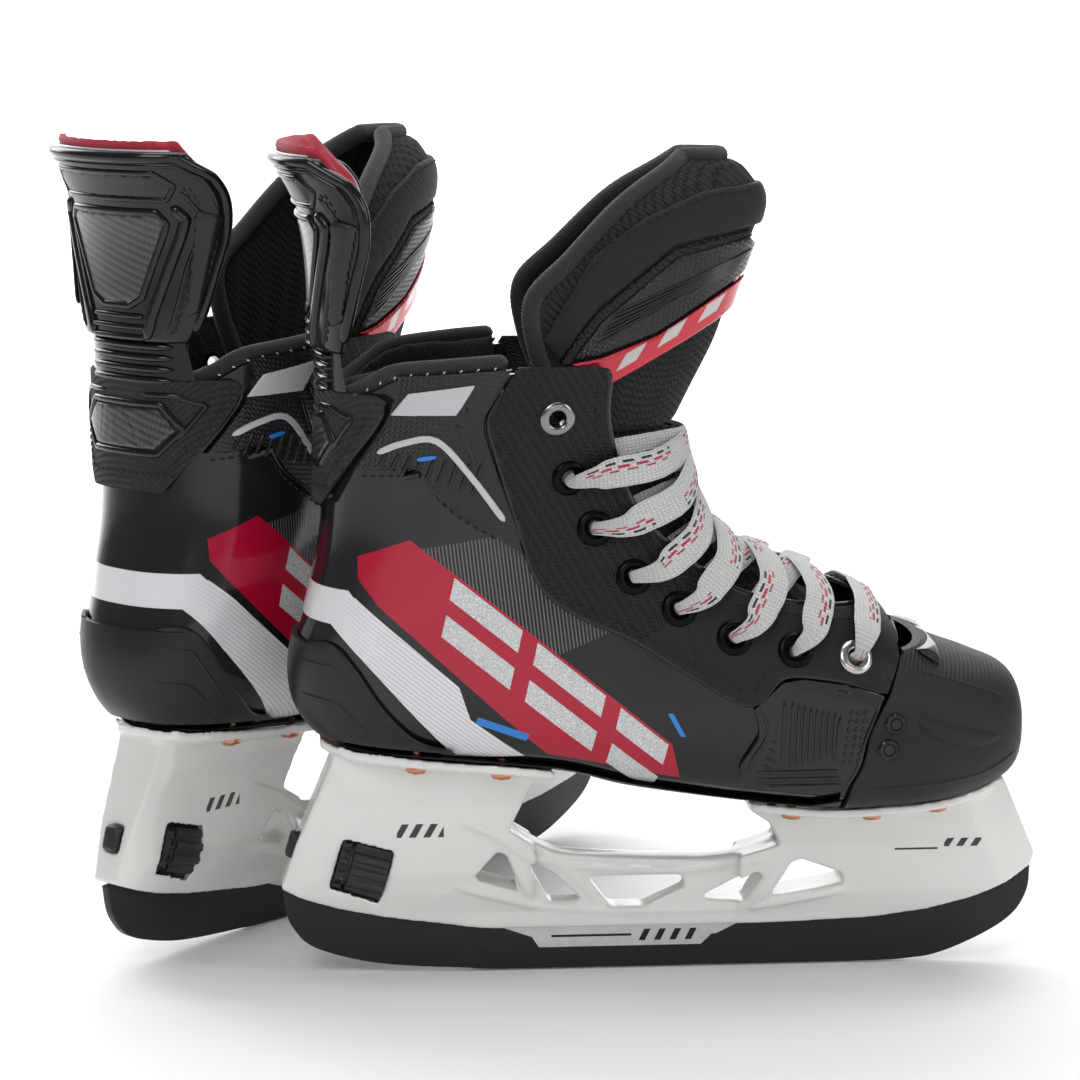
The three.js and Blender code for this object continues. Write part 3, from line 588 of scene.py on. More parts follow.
def shell_finish():
    f = Finish("shell gloss", BLACK[:3], 0.16, Coat_Weight=0.25, Coat_Roughness=0.04, Specular_IOR_Level=0.35)
    x, z = f.x(), f.z()
    down = f.along(f.place, 0.78, 0, -0.626)
    over = f.along(f.place, 0.626, 0, 0.78)
    # The quarter is painted a little lighter than the rest of the shell: a painted sheen.
    quarter_sheen = f.invert(f.ramp(f.along(f.place, 0.86, 0, -0.5), -128.0, -98.0))
    base = f.blend(quarter_sheen, BLACK, rgb(0.012, 0.012, 0.014))
    ticks = f.both(f.polygon(f.place, TICKS), f.stripes(f.along(f.place, 1, 0, 0.12), 1.15, 0.3))
    base = f.blend(ticks, base, rgb(0.14, 0.14, 0.15))
    white = f.either(f.either(f.polygon(f.place, HEEL_STRIPE), f.polygon(f.place, SLANT_STRIPE)),
                     f.polygon(f.place, STRIPE_FOOT))
    pins = f.both(f.stripes(f.along(f.place, 0.626, 0, 0.78), 1.25, 0.28), f.ramp(x, -112.0, -82.0))
    base = f.blend(white, base, f.blend(pins, WHITE, rgb(0.5, 0.51, 0.54)))
    red = f.polygon(f.place, PANEL)
    lines = f.both(f.stripes(over, 0.95, 0.3), f.noise(f.place, 60.0))
    crimson = f.blend(lines, CRIMSON, rgb(0.28, 0.003, 0.02))
    base = f.blend(red, base, crimson)
    fold = f.math("ABSOLUTE", f.math("SUBTRACT", over, MIDLINE))
    leant = f.math("MULTIPLY_ADD", f.math("SUBTRACT", over, MIDLINE), 0.5, down)
    sparkle = f.noise(f.place, 2600.0, 1.0)
    grey = f.blend(f.ramp(sparkle, 0.35, 0.7), rgb(0.42, 0.43, 0.44), rgb(0.74, 0.75, 0.76))
    for near, wide in ((-132.0, 27.0), (-99.0, 27.0), (-66.0, 19.0)):
        bar = f.both(f.between(leant, near, near + wide), f.between(fold, 2.2, 8.6))
        base = f.blend(bar, base, grey)
    for slash in ([(-0.5, 92), (1.2, 92), (5.2, 84.5), (3.6, 84.5)],
                  [(-60, 88), (-44, 82), (-43, 84.4), (-59, 90.2)]):
        base = f.blend(f.polygon(f.place, slash), base, BLUE)
    f.colour(base).worn(0.17, 0.16)
    f.raise_by(f.noise(f.place, 28.0, 2.0), 0.25, 0.25)
    return f.material


def facing_finish():
    f = Finish("facing leather", CHARCOAL[:3], 0.5, Specular_IOR_Level=0.22)
    upper = f.ramp(f.along(f.place, -0.62, 0, 0.78), 94.0, 94.6)
    row = f.math("FLOOR", f.math("DIVIDE", f.along(f.place, 0.86, 0, 0.5), 2.6))
    lean = f.math("MULTIPLY_ADD", f.math("MODULO", row, 2.0), 2.0, -1.0)
    bone = f.math("MULTIPLY_ADD", f.along(f.place, 0.86, 0, 0.5), lean, f.along(f.place, -0.5, 0, 0.86))
    dash = f.ridges(bone, 1.5)
    gap = f.math("POWER", f.ridges(f.along(f.place, 0.86, 0, 0.5), 2.6), 0.4)
    grain = f.effect(GRAIN, Place=f.place, Scale=1500.0)[0]
    f.raise_by(f.both(f.both(dash, gap), upper), 0.28, 0.9)
    f.raise_by(grain, 0.09, 0.5)
    shade = f.noise(f.place, 25.0, 4.0)
    tint = f.blend(shade, rgb(0.010, 0.010, 0.011), rgb(0.020, 0.020, 0.022))
    f.colour(f.blend(f.both(upper, f.both(dash, gap)), tint, rgb(0.006, 0.006, 0.007)))
    f.worn(0.5, 0.2)
    return f.material


def cap_finish():
    f = Finish("toe cap plastic", (0.02, 0.02, 0.021), 0.55, Specular_IOR_Level=0.22)
    grain = f.effect(GRAIN, Place=f.place, Scale=1100.0)[0]
    f.raise_by(grain, 0.12, 0.7)
    top = f.both(f.ramp(f.z(), 97.0, 99.0), f.math("LESS_THAN", f.x(), 112.0))
    f.raise_by(f.both(f.ridges(f.along(f.place, 0.9, 0, -0.43), 1.5), top), 0.25, 0.8)
    f.colour(f.blend(f.noise(f.place, 30.0, 4.0), rgb(0.015, 0.015, 0.016), rgb(0.026, 0.026, 0.027)))
    f.worn(0.55, 0.22)
    return f.material


def counter_finish():
    f = Finish("heel counter", (0.03, 0.03, 0.032), 0.38, Specular_IOR_Level=0.28)
    f.raise_by(f.effect(GRAIN, Place=f.place, Scale=1500.0)[0], 0.05, 0.5)
    f.raise_by(f.both(f.ridges(f.along(f.place, 0.5, 0, 0.86), 1.3),
                      f.ramp(f.along(f.place, 0.5, 0, -0.86), -128.0, -124.0)), 0.1, 0.5)
    f.colour(f.blend(f.noise(f.place, 30.0, 3.0), rgb(0.011, 0.011, 0.012), rgb(0.019, 0.019, 0.02)))
    f.worn(0.36, 0.2)
    return f.material


def moulded_finish(name, colour, gloss, fine=0.0):
    f = Finish(name, colour, gloss, Coat_Weight=0.2, Coat_Roughness=0.06, Specular_IOR_Level=0.35)
    f.raise_by(f.noise(f.place, 180.0, 3.0), 0.12, 0.3)
    if fine:
        f.raise_by(f.effect(WEAVE, Along=f.along(f.place, 0.8, 0.2, 0.6),
                            Across=f.along(f.place, -0.6, 0.2, 0.8),
                            Pitch=fine)[0], 0.25, 0.8)
    f.worn(gloss, 0.16)
    return f.material


def carbon_finish():
    f = Finish("carbon inset", (0.02, 0.02, 0.022), 0.34, Coat_Weight=0.5, Coat_Roughness=0.12)
    shade, height = f.effect(TWILL, Along=f.along(f.place, 0, 0.7, 0.7),
                             Across=f.along(f.place, 0, -0.7, 0.7), Pitch=1.3)
    f.colour(f.blend(shade, rgb(0.012, 0.012, 0.013), rgb(0.05, 0.05, 0.054)))
    f.raise_by(height, 0.08, 0.6)
    return f.material


def cloth_finish(name, dark, light, pitch, depth, roughness=0.9, sheen=0.15):
    f = Finish(name, dark[:3], roughness, Sheen_Weight=0.3 * sheen, Sheen_Roughness=0.4,
               Specular_IOR_Level=0.25)
    height = f.effect(WEAVE, Along=f.along(f.place, 0.45, 0.77, 0.45),
                      Across=f.along(f.place, -0.45, 0.77, -0.45), Pitch=pitch)[0]
    f.raise_by(height, depth, 0.9)
    f.raise_by(f.noise(f.place, 900.0, 2.0), 0.1, 0.4)
    # The weave's hollows are painted darker and its crowns lighter: painted shade between the threads.
    f.colour(f.blend(height, dark, light))
    return f.material


def felt_finish():
    """The tendon guard's lining: red felt along the top, dark blue below."""
    f = Finish("guard lining felt", CRIMSON[:3], 0.95, Sheen_Weight=0.3, Sheen_Roughness=0.5)
    fuzz = f.noise(f.place, 1500.0, 4.0, 0.7)
    tall = f.ramp(f.math("MULTIPLY_ADD", fuzz, 2.0, f.z()), 232.0, 233.5)
    red = f.blend(fuzz, rgb(0.3, 0.006, 0.02), rgb(0.56, 0.03, 0.07))
    dark = f.blend(fuzz, rgb(0.008, 0.011, 0.02), rgb(0.03, 0.037, 0.06))
    f.colour(f.blend(tall, dark, red))
    f.raise_by(fuzz, 0.4, 0.9)
    return f.material


def ribbed_finish():
    """Grosgrain binding: fine ribs across the tape."""
    f = Finish("ribbed binding", (0.012, 0.012, 0.013), 0.8, Sheen_Weight=0.2)
    rib = f.ridges(f.along(f.place, 0.75, 0.35, 0.55), 0.7)
    f.raise_by(rib, 0.22, 1.0)
    # The hollows between the ribs are painted darker and the ribs lighter: painted shade between the ribs.
    f.colour(f.blend(rib, rgb(0.004, 0.004, 0.005), rgb(0.022, 0.022, 0.024)))
    return f.material


def badge_finish():
    f = Finish("badge red", (0.5, 0.012, 0.03), 0.2, Metallic=0.55, Coat_Weight=0.8, Coat_Roughness=0.06)
    f.raise_by(f.noise(f.place, 60.0, 2.0), 0.3, 0.25)
    red = f.blend(f.noise(f.place, 24.0, 2.0), rgb(0.36, 0.006, 0.02), rgb(0.62, 0.02, 0.045))
    bars = f.both(f.stripes(f.along(f.place, 1, 0, -0.6), 9.0, 0.5),
                  f.between(f.along(f.place, -0.52, 0, 1), 206.4, 210.2))
    f.colour(f.blend(f.both(bars, f.between(f.x(), -18.0, 36.0)), red, rgb(0.5, 0.48, 0.46)))
    f.worn(0.2, 0.12)
    return f.material


def metal_finish(name, colour, roughness, brushed=0.0):
    f = Finish(name, colour, roughness, Metallic=1.0)
    f.worn(roughness, 0.2)
    dull = tuple(0.72 * c for c in colour)
    f.colour(f.blend(f.noise(f.place, 260.0, 3.0), (*dull, 1), (*colour, 1)))
    f.raise_by(f.noise(f.place, 500.0, 2.0), 0.05 + brushed, 0.3)
    return f.material


def holder_finish():
    f = Finish("holder nylon", (0.78, 0.775, 0.755), 0.24, Subsurface_Weight=0.06, Subsurface_Scale=0.004,
               Coat_Weight=0.35, Coat_Roughness=0.1)
    white = f.blend(f.noise(f.place, 16.0, 3.0), rgb(0.71, 0.705, 0.685), rgb(0.77, 0.765, 0.75))
    outer = f.math("GREATER_THAN", f.math("ABSOLUTE", f.y()), 5.0)
    bars = f.stripes(f.along(f.place, 1, 0, -0.55), 4.6, 0.5)
    rear = f.both(f.between(f.x(), -84.0, -69.0), f.between(f.z(), 46.5, 51.0))
    front = f.both(f.between(f.x(), 92.0, 104.0), f.between(f.z(), 40.5, 43.5))
    rule = f.both(f.between(f.x(), 76.0, 90.0), f.between(f.z(), 39.6, 40.3))
    ink = f.both(f.either(f.both(f.either(rear, front), bars), rule), outer)
    f.colour(f.blend(ink, white, rgb(0.02, 0.02, 0.02)))
    f.raise_by(f.noise(f.place, 40.0, 2.0), 0.2, 0.15)
    f.worn(0.24, 0.16)
    return f.material


def runner_finish():
    """Black-coated steel with a bright bare band in the middle of each side."""
    f = Finish("runner coating", (0.012, 0.011, 0.011), 0.42, Specular_IOR_Level=0.35)
    bright = f.either(f.polygon(f.place, [(-52, 14.6), (-40, 10.4), (19.5, 10.4), (28, 14.6)]),
                      f.polygon(f.place, [(-40.5, 10.8), (-38, 7), (14.6, 7), (18.6, 10.8)]))
    rule = f.both(f.between(f.z(), 10.2, 11.0), f.between(f.x(), -34, -8))
    steel = f.blend(f.noise(f.place, 300.0, 2.0), rgb(0.55, 0.56, 0.58), rgb(0.72, 0.73, 0.75))
    bars = f.both(f.both(f.stripes(f.along(f.place, 1, 0, -0.5), 5.0, 0.42), f.between(f.z(), 8.6, 12.4)),
                  f.between(f.x(), -6.0, 14.0))
    steel = f.blend(f.either(rule, bars), steel, rgb(0.03, 0.03, 0.03))
    coat = f.blend(f.noise(f.place, 40.0, 4.0), rgb(0.009, 0.008, 0.008), rgb(0.015, 0.0135, 0.0135))
    f.colour(f.blend(bright, coat, steel))
    f.metal(f.math("MULTIPLY", bright, 0.8))
    grind = f.put("ShaderNodeTexNoise", {"Scale": 1.0, "Detail": 2.0})
    f.links.new(f.put("ShaderNodeVectorMath", {0: f.place, 1: (60, 900, 2600)},
                      operation="MULTIPLY").outputs[0], grind.inputs["Vector"])
    f.raise_by(grind.outputs[0], 0.05, 0.35)
    f.worn(0.42, 0.2)
    return f.material


def lace_finish():
    """Flat knitted lace: chevron stitches, with red and black dashes along one edge."""
    f = Finish("knitted lace", (0.78, 0.78, 0.76), 0.85, Sheen_Weight=0.3, Subsurface_Weight=0.08,
               Subsurface_Scale=0.002)
    uv = f.put("ShaderNodeUVMap", uv_map="lace").outputs[0]
    split = f.put("ShaderNodeSeparateXYZ", {0: uv})
    run, across = split.outputs[0], split.outputs[1]
    column = f.math("MULTIPLY", across, 9.0)
    slant = f.math("MULTIPLY", f.math("ABSOLUTE", f.math("SUBTRACT", f.math("FRACT", column), 0.5)), 1.6)
    stitch = f.ridges(f.math("ADD", run, slant), 1.5)
    groove = f.math("POWER", f.ridges(f.math("ADD", column, 0.25), 1.0), 0.5)
    height = f.both(stitch, groove)
    f.raise_by(height, 0.4, 1.0)
    f.raise_by(f.noise(f.place, 1800.0, 3.0), 0.15, 0.5)
    # The knit's grooves are painted darker than its stitches: painted shade in the grooves.
    base = f.blend(height, rgb(0.5, 0.5, 0.49), rgb(0.86, 0.86, 0.84))
    dash = f.math("FRACT", f.math("DIVIDE", f.math("MULTIPLY_ADD", across, 4.0, run), 6.4))
    runs = f.math("LESS_THAN", f.math("FRACT", f.math("DIVIDE", run, 47.0)), 0.72)
    red = f.both(f.both(f.math("LESS_THAN", dash, 0.66), f.between(across, 0.64, 0.73)), runs)
    ink = f.both(f.both(f.math("GREATER_THAN", dash, 0.4), f.between(across, 0.79, 0.88)), runs)
    second = f.both(f.both(f.math("GREATER_THAN", dash, 0.45), f.between(across, 0.53, 0.59)), runs)
    base = f.blend(f.either(red, second), base, rgb(0.5, 0.02, 0.07))
    f.colour(f.blend(ink, base, rgb(0.02, 0.02, 0.025)))
    return f.material


SHELL = shell_finish()
FACING = facing_finish()
CAP = cap_finish()
COUNTER = counter_finish()
GLOSS = moulded_finish("moulded gloss", (0.005, 0.005, 0.006), 0.2)
SATIN = moulded_finish("moulded satin", (0.012, 0.012, 0.013), 0.4)
EMBOSSED = moulded_finish("embossed panel", (0.01, 0.01, 0.011), 0.3, fine=1.1)
RUBBER = moulded_finish("satin rubber", (0.017, 0.017, 0.018), 0.5)
PLATE = moulded_finish("collar plate silver", (0.5, 0.51, 0.53), 0.32)
BLUE_INK = moulded_finish("blue accent", BLUE[:3], 0.35)
CARBON = carbon_finish()
MESH_CLOTH = cloth_finish("tongue mesh", rgb(0.004, 0.004, 0.005), rgb(0.028, 0.028, 0.03), 1.3, 0.3)
PAD_CLOTH = cloth_finish("tongue padding", rgb(0.010, 0.010, 0.011), rgb(0.017, 0.017, 0.018), 0.6, 0.08, 0.6)
BORDER = cloth_finish("border cloth", rgb(0.006, 0.006, 0.007), rgb(0.03, 0.03, 0.032), 1.0, 0.25, 0.7)
LINING = cloth_finish("lining", rgb(0.006, 0.006, 0.007), rgb(0.016, 0.016, 0.018), 0.8, 0.15, 0.95, 0.4)
FELT = felt_finish()
BINDING = ribbed_finish()
BADGE = badge_finish()
THREAD = cloth_finish("thread", rgb(0.006, 0.006, 0.006), rgb(0.03, 0.03, 0.03), 0.4, 0.1, 0.7)
HOLDER = holder_finish()
RUNNER = runner_finish()
LACE = lace_finish()
ENAMEL = metal_finish("black enamel", (0.012, 0.012, 0.013), 0.3)
GUNMETAL = metal_finish("gunmetal", (0.3, 0.3, 0.3), 0.22)
NICKEL = metal_finish("nickel", (0.62, 0.61, 0.58), 0.25)
COPPER = metal_finish("copper rivet", (0.72, 0.33, 0.18), 0.32)
STEEL = metal_finish("steel", (0.48, 0.48, 0.5), 0.3)
OUTSOLE = moulded_finish("outsole", (0.008, 0.008, 0.009), 0.75)


# ------------------------------------------------------------------ lines, sweeps and turned work
def smooth_line(points, steps=5):
    """An open line rounded through its points."""
    rows = np.array(points, float)
    ends = np.vstack([2 * rows[0] - rows[1], rows, 2 * rows[-1] - rows[-2]])
    out = []
    for a, b, c, d in zip(ends, ends[1:], ends[2:], ends[3:]):
        for t in np.arange(steps) / steps:
            out.append(0.5 * (2 * b + (c - a) * t + (2 * a - 5 * b + 4 * c - d) * t**2
                              + (3 * b - a - 3 * c + d) * t**3))
    return np.array(out + [rows[-1]])


def resampled(points, spacing, closed=False):
    rows = np.array([*points, points[0]] if closed else points, float)
    far = np.concatenate([[0], np.cumsum(np.linalg.norm(np.diff(rows, axis=0), axis=1))])
    at = np.linspace(0, far[-1], max(int(round(far[-1] / spacing)), 2) + 1)
    even = np.stack([np.interp(at, far, rows[:, k]) for k in range(rows.shape[1])], axis=1)
    return even[:-1] if closed else even


def surface_path(points, offset, side, spacing=1.5, closed=False):
    """Places and normals along a side-view line (x, z) laid on one side of the form."""
    return [on_side(x, z, offset, side) for x, z in resampled(points, spacing, closed)]


def round_profile(wide, tall, sides=10, lift=0.0):
    turns = 2 * np.pi * np.arange(sides) / sides
    return [(wide * math.cos(t), tall * math.sin(t) + lift) for t in turns]


def sweep(name, path, profile, closed=False, taper=0, ripple=0.0):
    """A profile (across, up) drawn along a path of places and normals."""
    rings, last = [], len(path) - 1
    for i, (point, normal) in enumerate(path):
        before = path[i - 1 if closed or i else 0][0]
        after = path[(i + 1) % len(path) if closed else min(i + 1, last)][0]
        along = (after - before).normalized()
        across = normal.cross(along).normalized()
        up = along.cross(across).normalized()
        end = min(i, last - i)
        size = math.sqrt(1 - (1 - end / taper) ** 2) if taper and end < taper else 1.0
        size = max(size, 0.06) * (1 + ripple * (i % 2))
        rings.append([point + across * (u * size) + up * (v * size) for u, v in profile])
    if closed:
        rings.append(rings[0])
    return skin_rings(name, rings, capped=not closed)


def stitches(name, path, pitch=3.0, length=2.0, radius=0.36, lift=0.12, lean=0.0):
    """Short thread stitches in a row along a path."""
    points = np.array([tuple(p) for p, _ in path])
    normals = np.array([tuple(n) for _, n in path])
    far = np.concatenate([[0], np.cumsum(np.linalg.norm(np.diff(points, axis=0), axis=1))])
    at = lambda rows, distance: np.array([np.interp(distance, far, rows[:, k]) for k in range(3)])
    corners, faces = [], []
    for middle in np.arange(pitch / 2, far[-1] - pitch / 4, pitch):
        up = at(normals, middle)
        up /= np.linalg.norm(up)
        ahead = at(points, middle + 0.5) - at(points, middle - 0.5)
        ahead /= max(np.linalg.norm(ahead), 1e-6)
        across = np.cross(up, ahead)
        ahead = ahead * math.cos(lean) + across * math.sin(lean)
        across = np.cross(up, ahead)
        first = len(corners)
        for share, thick in ((-0.5, 0.2), (-0.36, 0.85), (0.0, 1.0), (0.36, 0.85), (0.5, 0.2)):
            height = lift - 0.3 * radius * (abs(share) > 0.4)
            middle_of = at(points, middle) + ahead * (share * length) + up * height
            for k in range(6):
                turn = math.pi * k / 3
                spoke = across * math.cos(turn) + up * math.sin(turn)
                corners.append((middle_of + spoke * radius * thick) * MM)
        for r in range(4):
            for k in range(6):
                n = (k + 1) % 6
                a = first + 6 * r
                faces.append((a + k, a + n, a + 6 + n, a + 6 + k))
        faces.append(tuple(first + k for k in reversed(range(6))))
        faces.append(tuple(first + 24 + k for k in range(6)))
    return outward(mesh_piece(name, corners, faces))


def turned(name, profile, steps=32, closed=False):
    """A profile (radius, height) in millimetres, spun about the Z axis."""
    deselect_all()
    data = bpy.data.meshes.new(name)
    count = len(profile)
    edges = [(k, (k + 1) % count) for k in range(count if closed else count - 1)]
    data.from_pydata([(r * MM, 0, h * MM) for r, h in profile], edges, [])
    piece = bpy.data.objects.new(name, data)
    bpy.context.scene.collection.objects.link(piece)
    only(piece)
    bpy.ops.object.mode_set(mode="EDIT")
    bpy.ops.mesh.select_all(action="SELECT")
    bpy.ops.mesh.spin(steps=steps, angle=2 * math.pi, center=(0, 0, 0), axis=(0, 0, 1))
    bpy.ops.mesh.select_all(action="SELECT")
    bpy.ops.mesh.remove_doubles(threshold=0.000001)
    bpy.ops.mesh.normals_make_consistent(inside=False)
    bpy.ops.object.mode_set(mode="OBJECT")
    return piece


def copy_of(piece):
    twin = piece.copy()
    twin.data = piece.data.copy()
    bpy.context.scene.collection.objects.link(twin)
    return twin


def set_down(piece, point, normal, turn=0.0):
    """Moves a piece made at the origin to a point in millimetres, its Z axis along the normal."""
    spin = Vector(normal).to_track_quat("Z", "X").to_matrix().to_4x4() @ Matrix.Rotation(turn, 4, "Z")
    piece.data.transform(Matrix.Translation(Vector(point) * MM) @ spin)
    return piece


def rod(start, end, radius, vertices=32):
    start, end = Vector(start) * MM, Vector(end) * MM
    deselect_all()
    bpy.ops.mesh.primitive_cylinder_add(vertices=vertices, radius=radius * MM, depth=(end - start).length,
                                        location=(start + end) / 2,
                                        rotation=(end - start).to_track_quat("Z", "Y").to_euler())
    bpy.ops.object.transform_apply(location=True, rotation=True, scale=True)
    return bpy.context.object


def drawn_through(outline, low, high, plane):
    """A prism of an outline in the front (y, z) or plan (x, y) view."""
    piece = prism(outline, low, high)
    swap = {"front": ((0, 1, 0), (1, 0, 0), (0, 0, 1)), "plan": ((1, 0, 0), (0, 0, 1), (0, 1, 0))}[plane]
    piece.data.transform(Matrix(swap).to_4x4())
    piece.data.flip_normals()
    return piece


def mirrored(outline):
    """An outline of half widths, completed on the other side of the middle."""
    return [*outline, *[(-a, b) for a, b in reversed(outline)]]


def softened(piece, voxel, rounds=6, factor=0.5):
    """Remeshes a piece in even facets and rounds its edges, as a mould or padding does."""
    modified(piece, "REMESH", mode="VOXEL", voxel_size=voxel * MM)
    modified(piece, "SMOOTH", factor=factor, iterations=rounds)
    only(piece)
    bpy.ops.object.shade_smooth()
    return piece


SHEETS = {}


def sheet(name, inner, outer, outline=None, side=0):
    """A band of the form between two offsets, cut to a side-view outline."""
    if (inner, outer) not in SHEETS:
        SHEETS[inner, outer] = form_band(f"sheet_{inner}", inner, outer)
    piece = copy_of(SHEETS[inner, outer])
    piece.name = name
    if outline is not None:
        within(piece, prism(outline, *{0: (-150, 150), LATERAL: (-150, -1), MEDIAL: (1, 150)}[side]))
    return piece


# ------------------------------------------------------------------ outlines of the boot
SEAM_GAP = 0.3  # between the shell and what is laid on it
SKIN = 2.1  # the outer face of the facings, panels and toe cap, out from the form
SOLE_LINE = [(112, 66), (100, 61), (86, 59), (70, 57.5), (46, 57.5), (20, 60), (-8, 64.5), (-34, 70),
             (-60, 72.5), (-90, 75)]
THROAT = [(73, 108), (72, 117), (67, 121), (44, 124), (22, 129), (4, 141), (-11, 157), (-19, 182), (-19, 198),
          (-23, 201)]
EYELET_SPOTS = [(-35, 185), (-31, 166), (-23, 150), (-11, 135), (3, 125), (20, 116), (39, 112), (58, 109)]
FACING_BACK = [(-47, 201), (-54, 190), (-56, 184), (-54, 175), (-47, 152), (-40, 133), (-28, 123), (-12, 116),
               (6, 105), (25, 95), (34, 103), (41, 104), (54, 102), (68, 97.5)]
COLLAR_PANEL = [(-84, 198), (-49, 200.5), (-56.5, 189), (-58.5, 184), (-56.5, 175), (-45, 142), (-69, 159),
                (-77, 169),
                (-81, 170), (-96.5, 168.5), (-86.5, 183), (-83, 191)]
SIDE_PANEL = [(67, 96.5), (54, 101), (41.5, 103), (35, 102), (26, 93.5), (28, 89), (28, 85), (23.5, 77),
              (22.5, 73),
              (24, 67), (52, 66.5), (56, 67), (60, 76), (62, 86), (65, 92.5)]
TOE_CAP_BACK = [(74.5, 108), (71.5, 101), (69.5, 96), (66.5, 91), (63.5, 85), (61.5, 75.5), (57.5, 66),
                (56, 50)]
HEEL_COUNTER = [(-130, 113), (-104, 112), (-97, 104), (-89, 92), (-78, 81), (-66, 77), (-106, 80.5),
                (-130, 84)]
SHELL_OUTLINE = [(66, 50), (66, 97), (50, 99.5), (36, 101), (17, 105.5), (-3, 113.5), (-18, 125), (-32, 143),
                 (-43, 163), (-47, 185), (-47, 199), (-84, 196.5), (-100, 187), (-130, 186), (-130, 50)]
TONGUE_EDGE = [(69, 108), (58, 105), (40, 107), (20, 111), (4, 119), (-9, 130), (-19, 145), (-26, 160),
               (-28, 169)]
raised = lambda line, by: [(x, z + by) for x, z in line]
backs = smooth_line(FACING_BACK, 4)
throat = smooth_line(THROAT, 4)

# ------------------------------------------------------------------ shell, counter, outsole
on_both_skates(smoothed(sheet("shell", -2.5, 0, SHELL_OUTLINE)), SHELL, replaces=["shell"])

counter = smoothed(sheet("heel_counter", SEAM_GAP, SKIN, [(-130, 113), *smooth_line(HEEL_COUNTER[1:6], 4),
                                                     *HEEL_COUNTER[6:]]))
on_both_skates(counter, COUNTER, replaces=["heel_counter"])
counter_top = smooth_line([(-112, 112.6), *HEEL_COUNTER[1:6]], 4)
counter_seams = []
for side in (LATERAL, MEDIAL):
    counter_seams.append(sweep("seam", surface_path(counter_top, 1.2, side), round_profile(0.95, 0.95, 8),
                               taper=3))
    counter_seams.append(sweep("seam", surface_path([(-114, 107), (-104, 106), (-93, 91), (-84, 83)], SKIN,
                                                    side),
                               round_profile(0.5, 0.32, 8), taper=3))
    counter_seams.append(sweep("seam", surface_path([(-114, 96), (-103, 94), (-96, 87), (-92, 82.5)], SKIN,
                                                    side),
                               round_profile(0.6, 0.4, 8), taper=3))
on_both_skates(smoothed(joined_up(counter_seams, "heel_counter_seams"), 60), COUNTER)

outsole = sheet("outsole", 0.3, 1.9, [*[p for p in raised(SOLE_LINE, 1.6) if p[0] < 60], (-100, 78),
                                      (-100, 60), (55, 50), (55, 62)])
cut(outsole, prism(HEEL_COUNTER))
on_both_skates(smoothed(outsole), OUTSOLE, replaces=["outsole"])

# ------------------------------------------------------------------ toe cap
cap = sheet("toe_cap", SEAM_GAP, SKIN, [(74.5, 130), *smooth_line(TOE_CAP_BACK, 4), (130, 50), (130, 130)])
cut(cap, prism([(50, 109), (95, 109), (95, 140), (50, 140)]))
on_both_skates(smoothed(cap), CAP, replaces=["toe_cap"])
trim = []
for side in (LATERAL, MEDIAL):
    trim.append(sweep("edge", surface_path(smooth_line(TOE_CAP_BACK[:-1], 4), 1.2, side),
                      round_profile(0.95, 0.95, 8), taper=3))
    trim.append(sweep("line", surface_path(smooth_line([(62, 66), (80, 67), (100, 69), (113, 74)], 4), SKIN,
                                           side),
                      round_profile(0.7, 0.45, 8), taper=4))
    trim.append(sweep("line", surface_path(smooth_line([(77, 104), (92, 98.5), (104, 94), (110, 90)], 4),
                                           SKIN, side),
                      round_profile(0.6, 0.4, 8), taper=4))
    wedge = surface_path(smooth_line([(78, 88), (88, 83.5), (98, 81), (106, 80.5)], 5), SKIN, side, 1.0)
    trim.append(sweep("wedge", wedge, [(-3.2, -0.4), (-2.2, 1.1), (0, 1.5), (2.2, 1.1), (3.2, -0.4)],
                      taper=14))
on_both_skates(smoothed(joined_up(trim, "toe_cap_mouldings"), 50), CAP)

BUTTON = [(0, 0.9), (1.5, 0.85), (1.75, 0.55), (2.0, 0.55), (2.25, 1.0), (2.9, 1.0), (3.3, 0.6), (3.3, -0.8),
          (0, -0.8)]
button = turned("button", BUTTON, 28)
buttons = []
for side in (LATERAL, MEDIAL):
    for x, z in ((70.5, 88), (68.5, 80)):
        buttons.append(set_down(copy_of(button), *on_side(x, z, SKIN, side)))
bpy.data.objects.remove(button)
on_both_skates(smoothed(joined_up(buttons, "toe_cap_buttons"), 30), GLOSS)

ridge = sheet("toe_ridge", 2.4, 4.6, [(75, 100), (87, 98), (87, 108.6), (75, 108.6)])
within(ridge, drawn_through([(70, -24), (95, -24), (95, 30), (70, 30)], 80, 130, "plan"))
ridge = softened(ridge, 0.5, 6)
on_both_skates(ridge, GLOSS, replaces=["toe_ridge"])

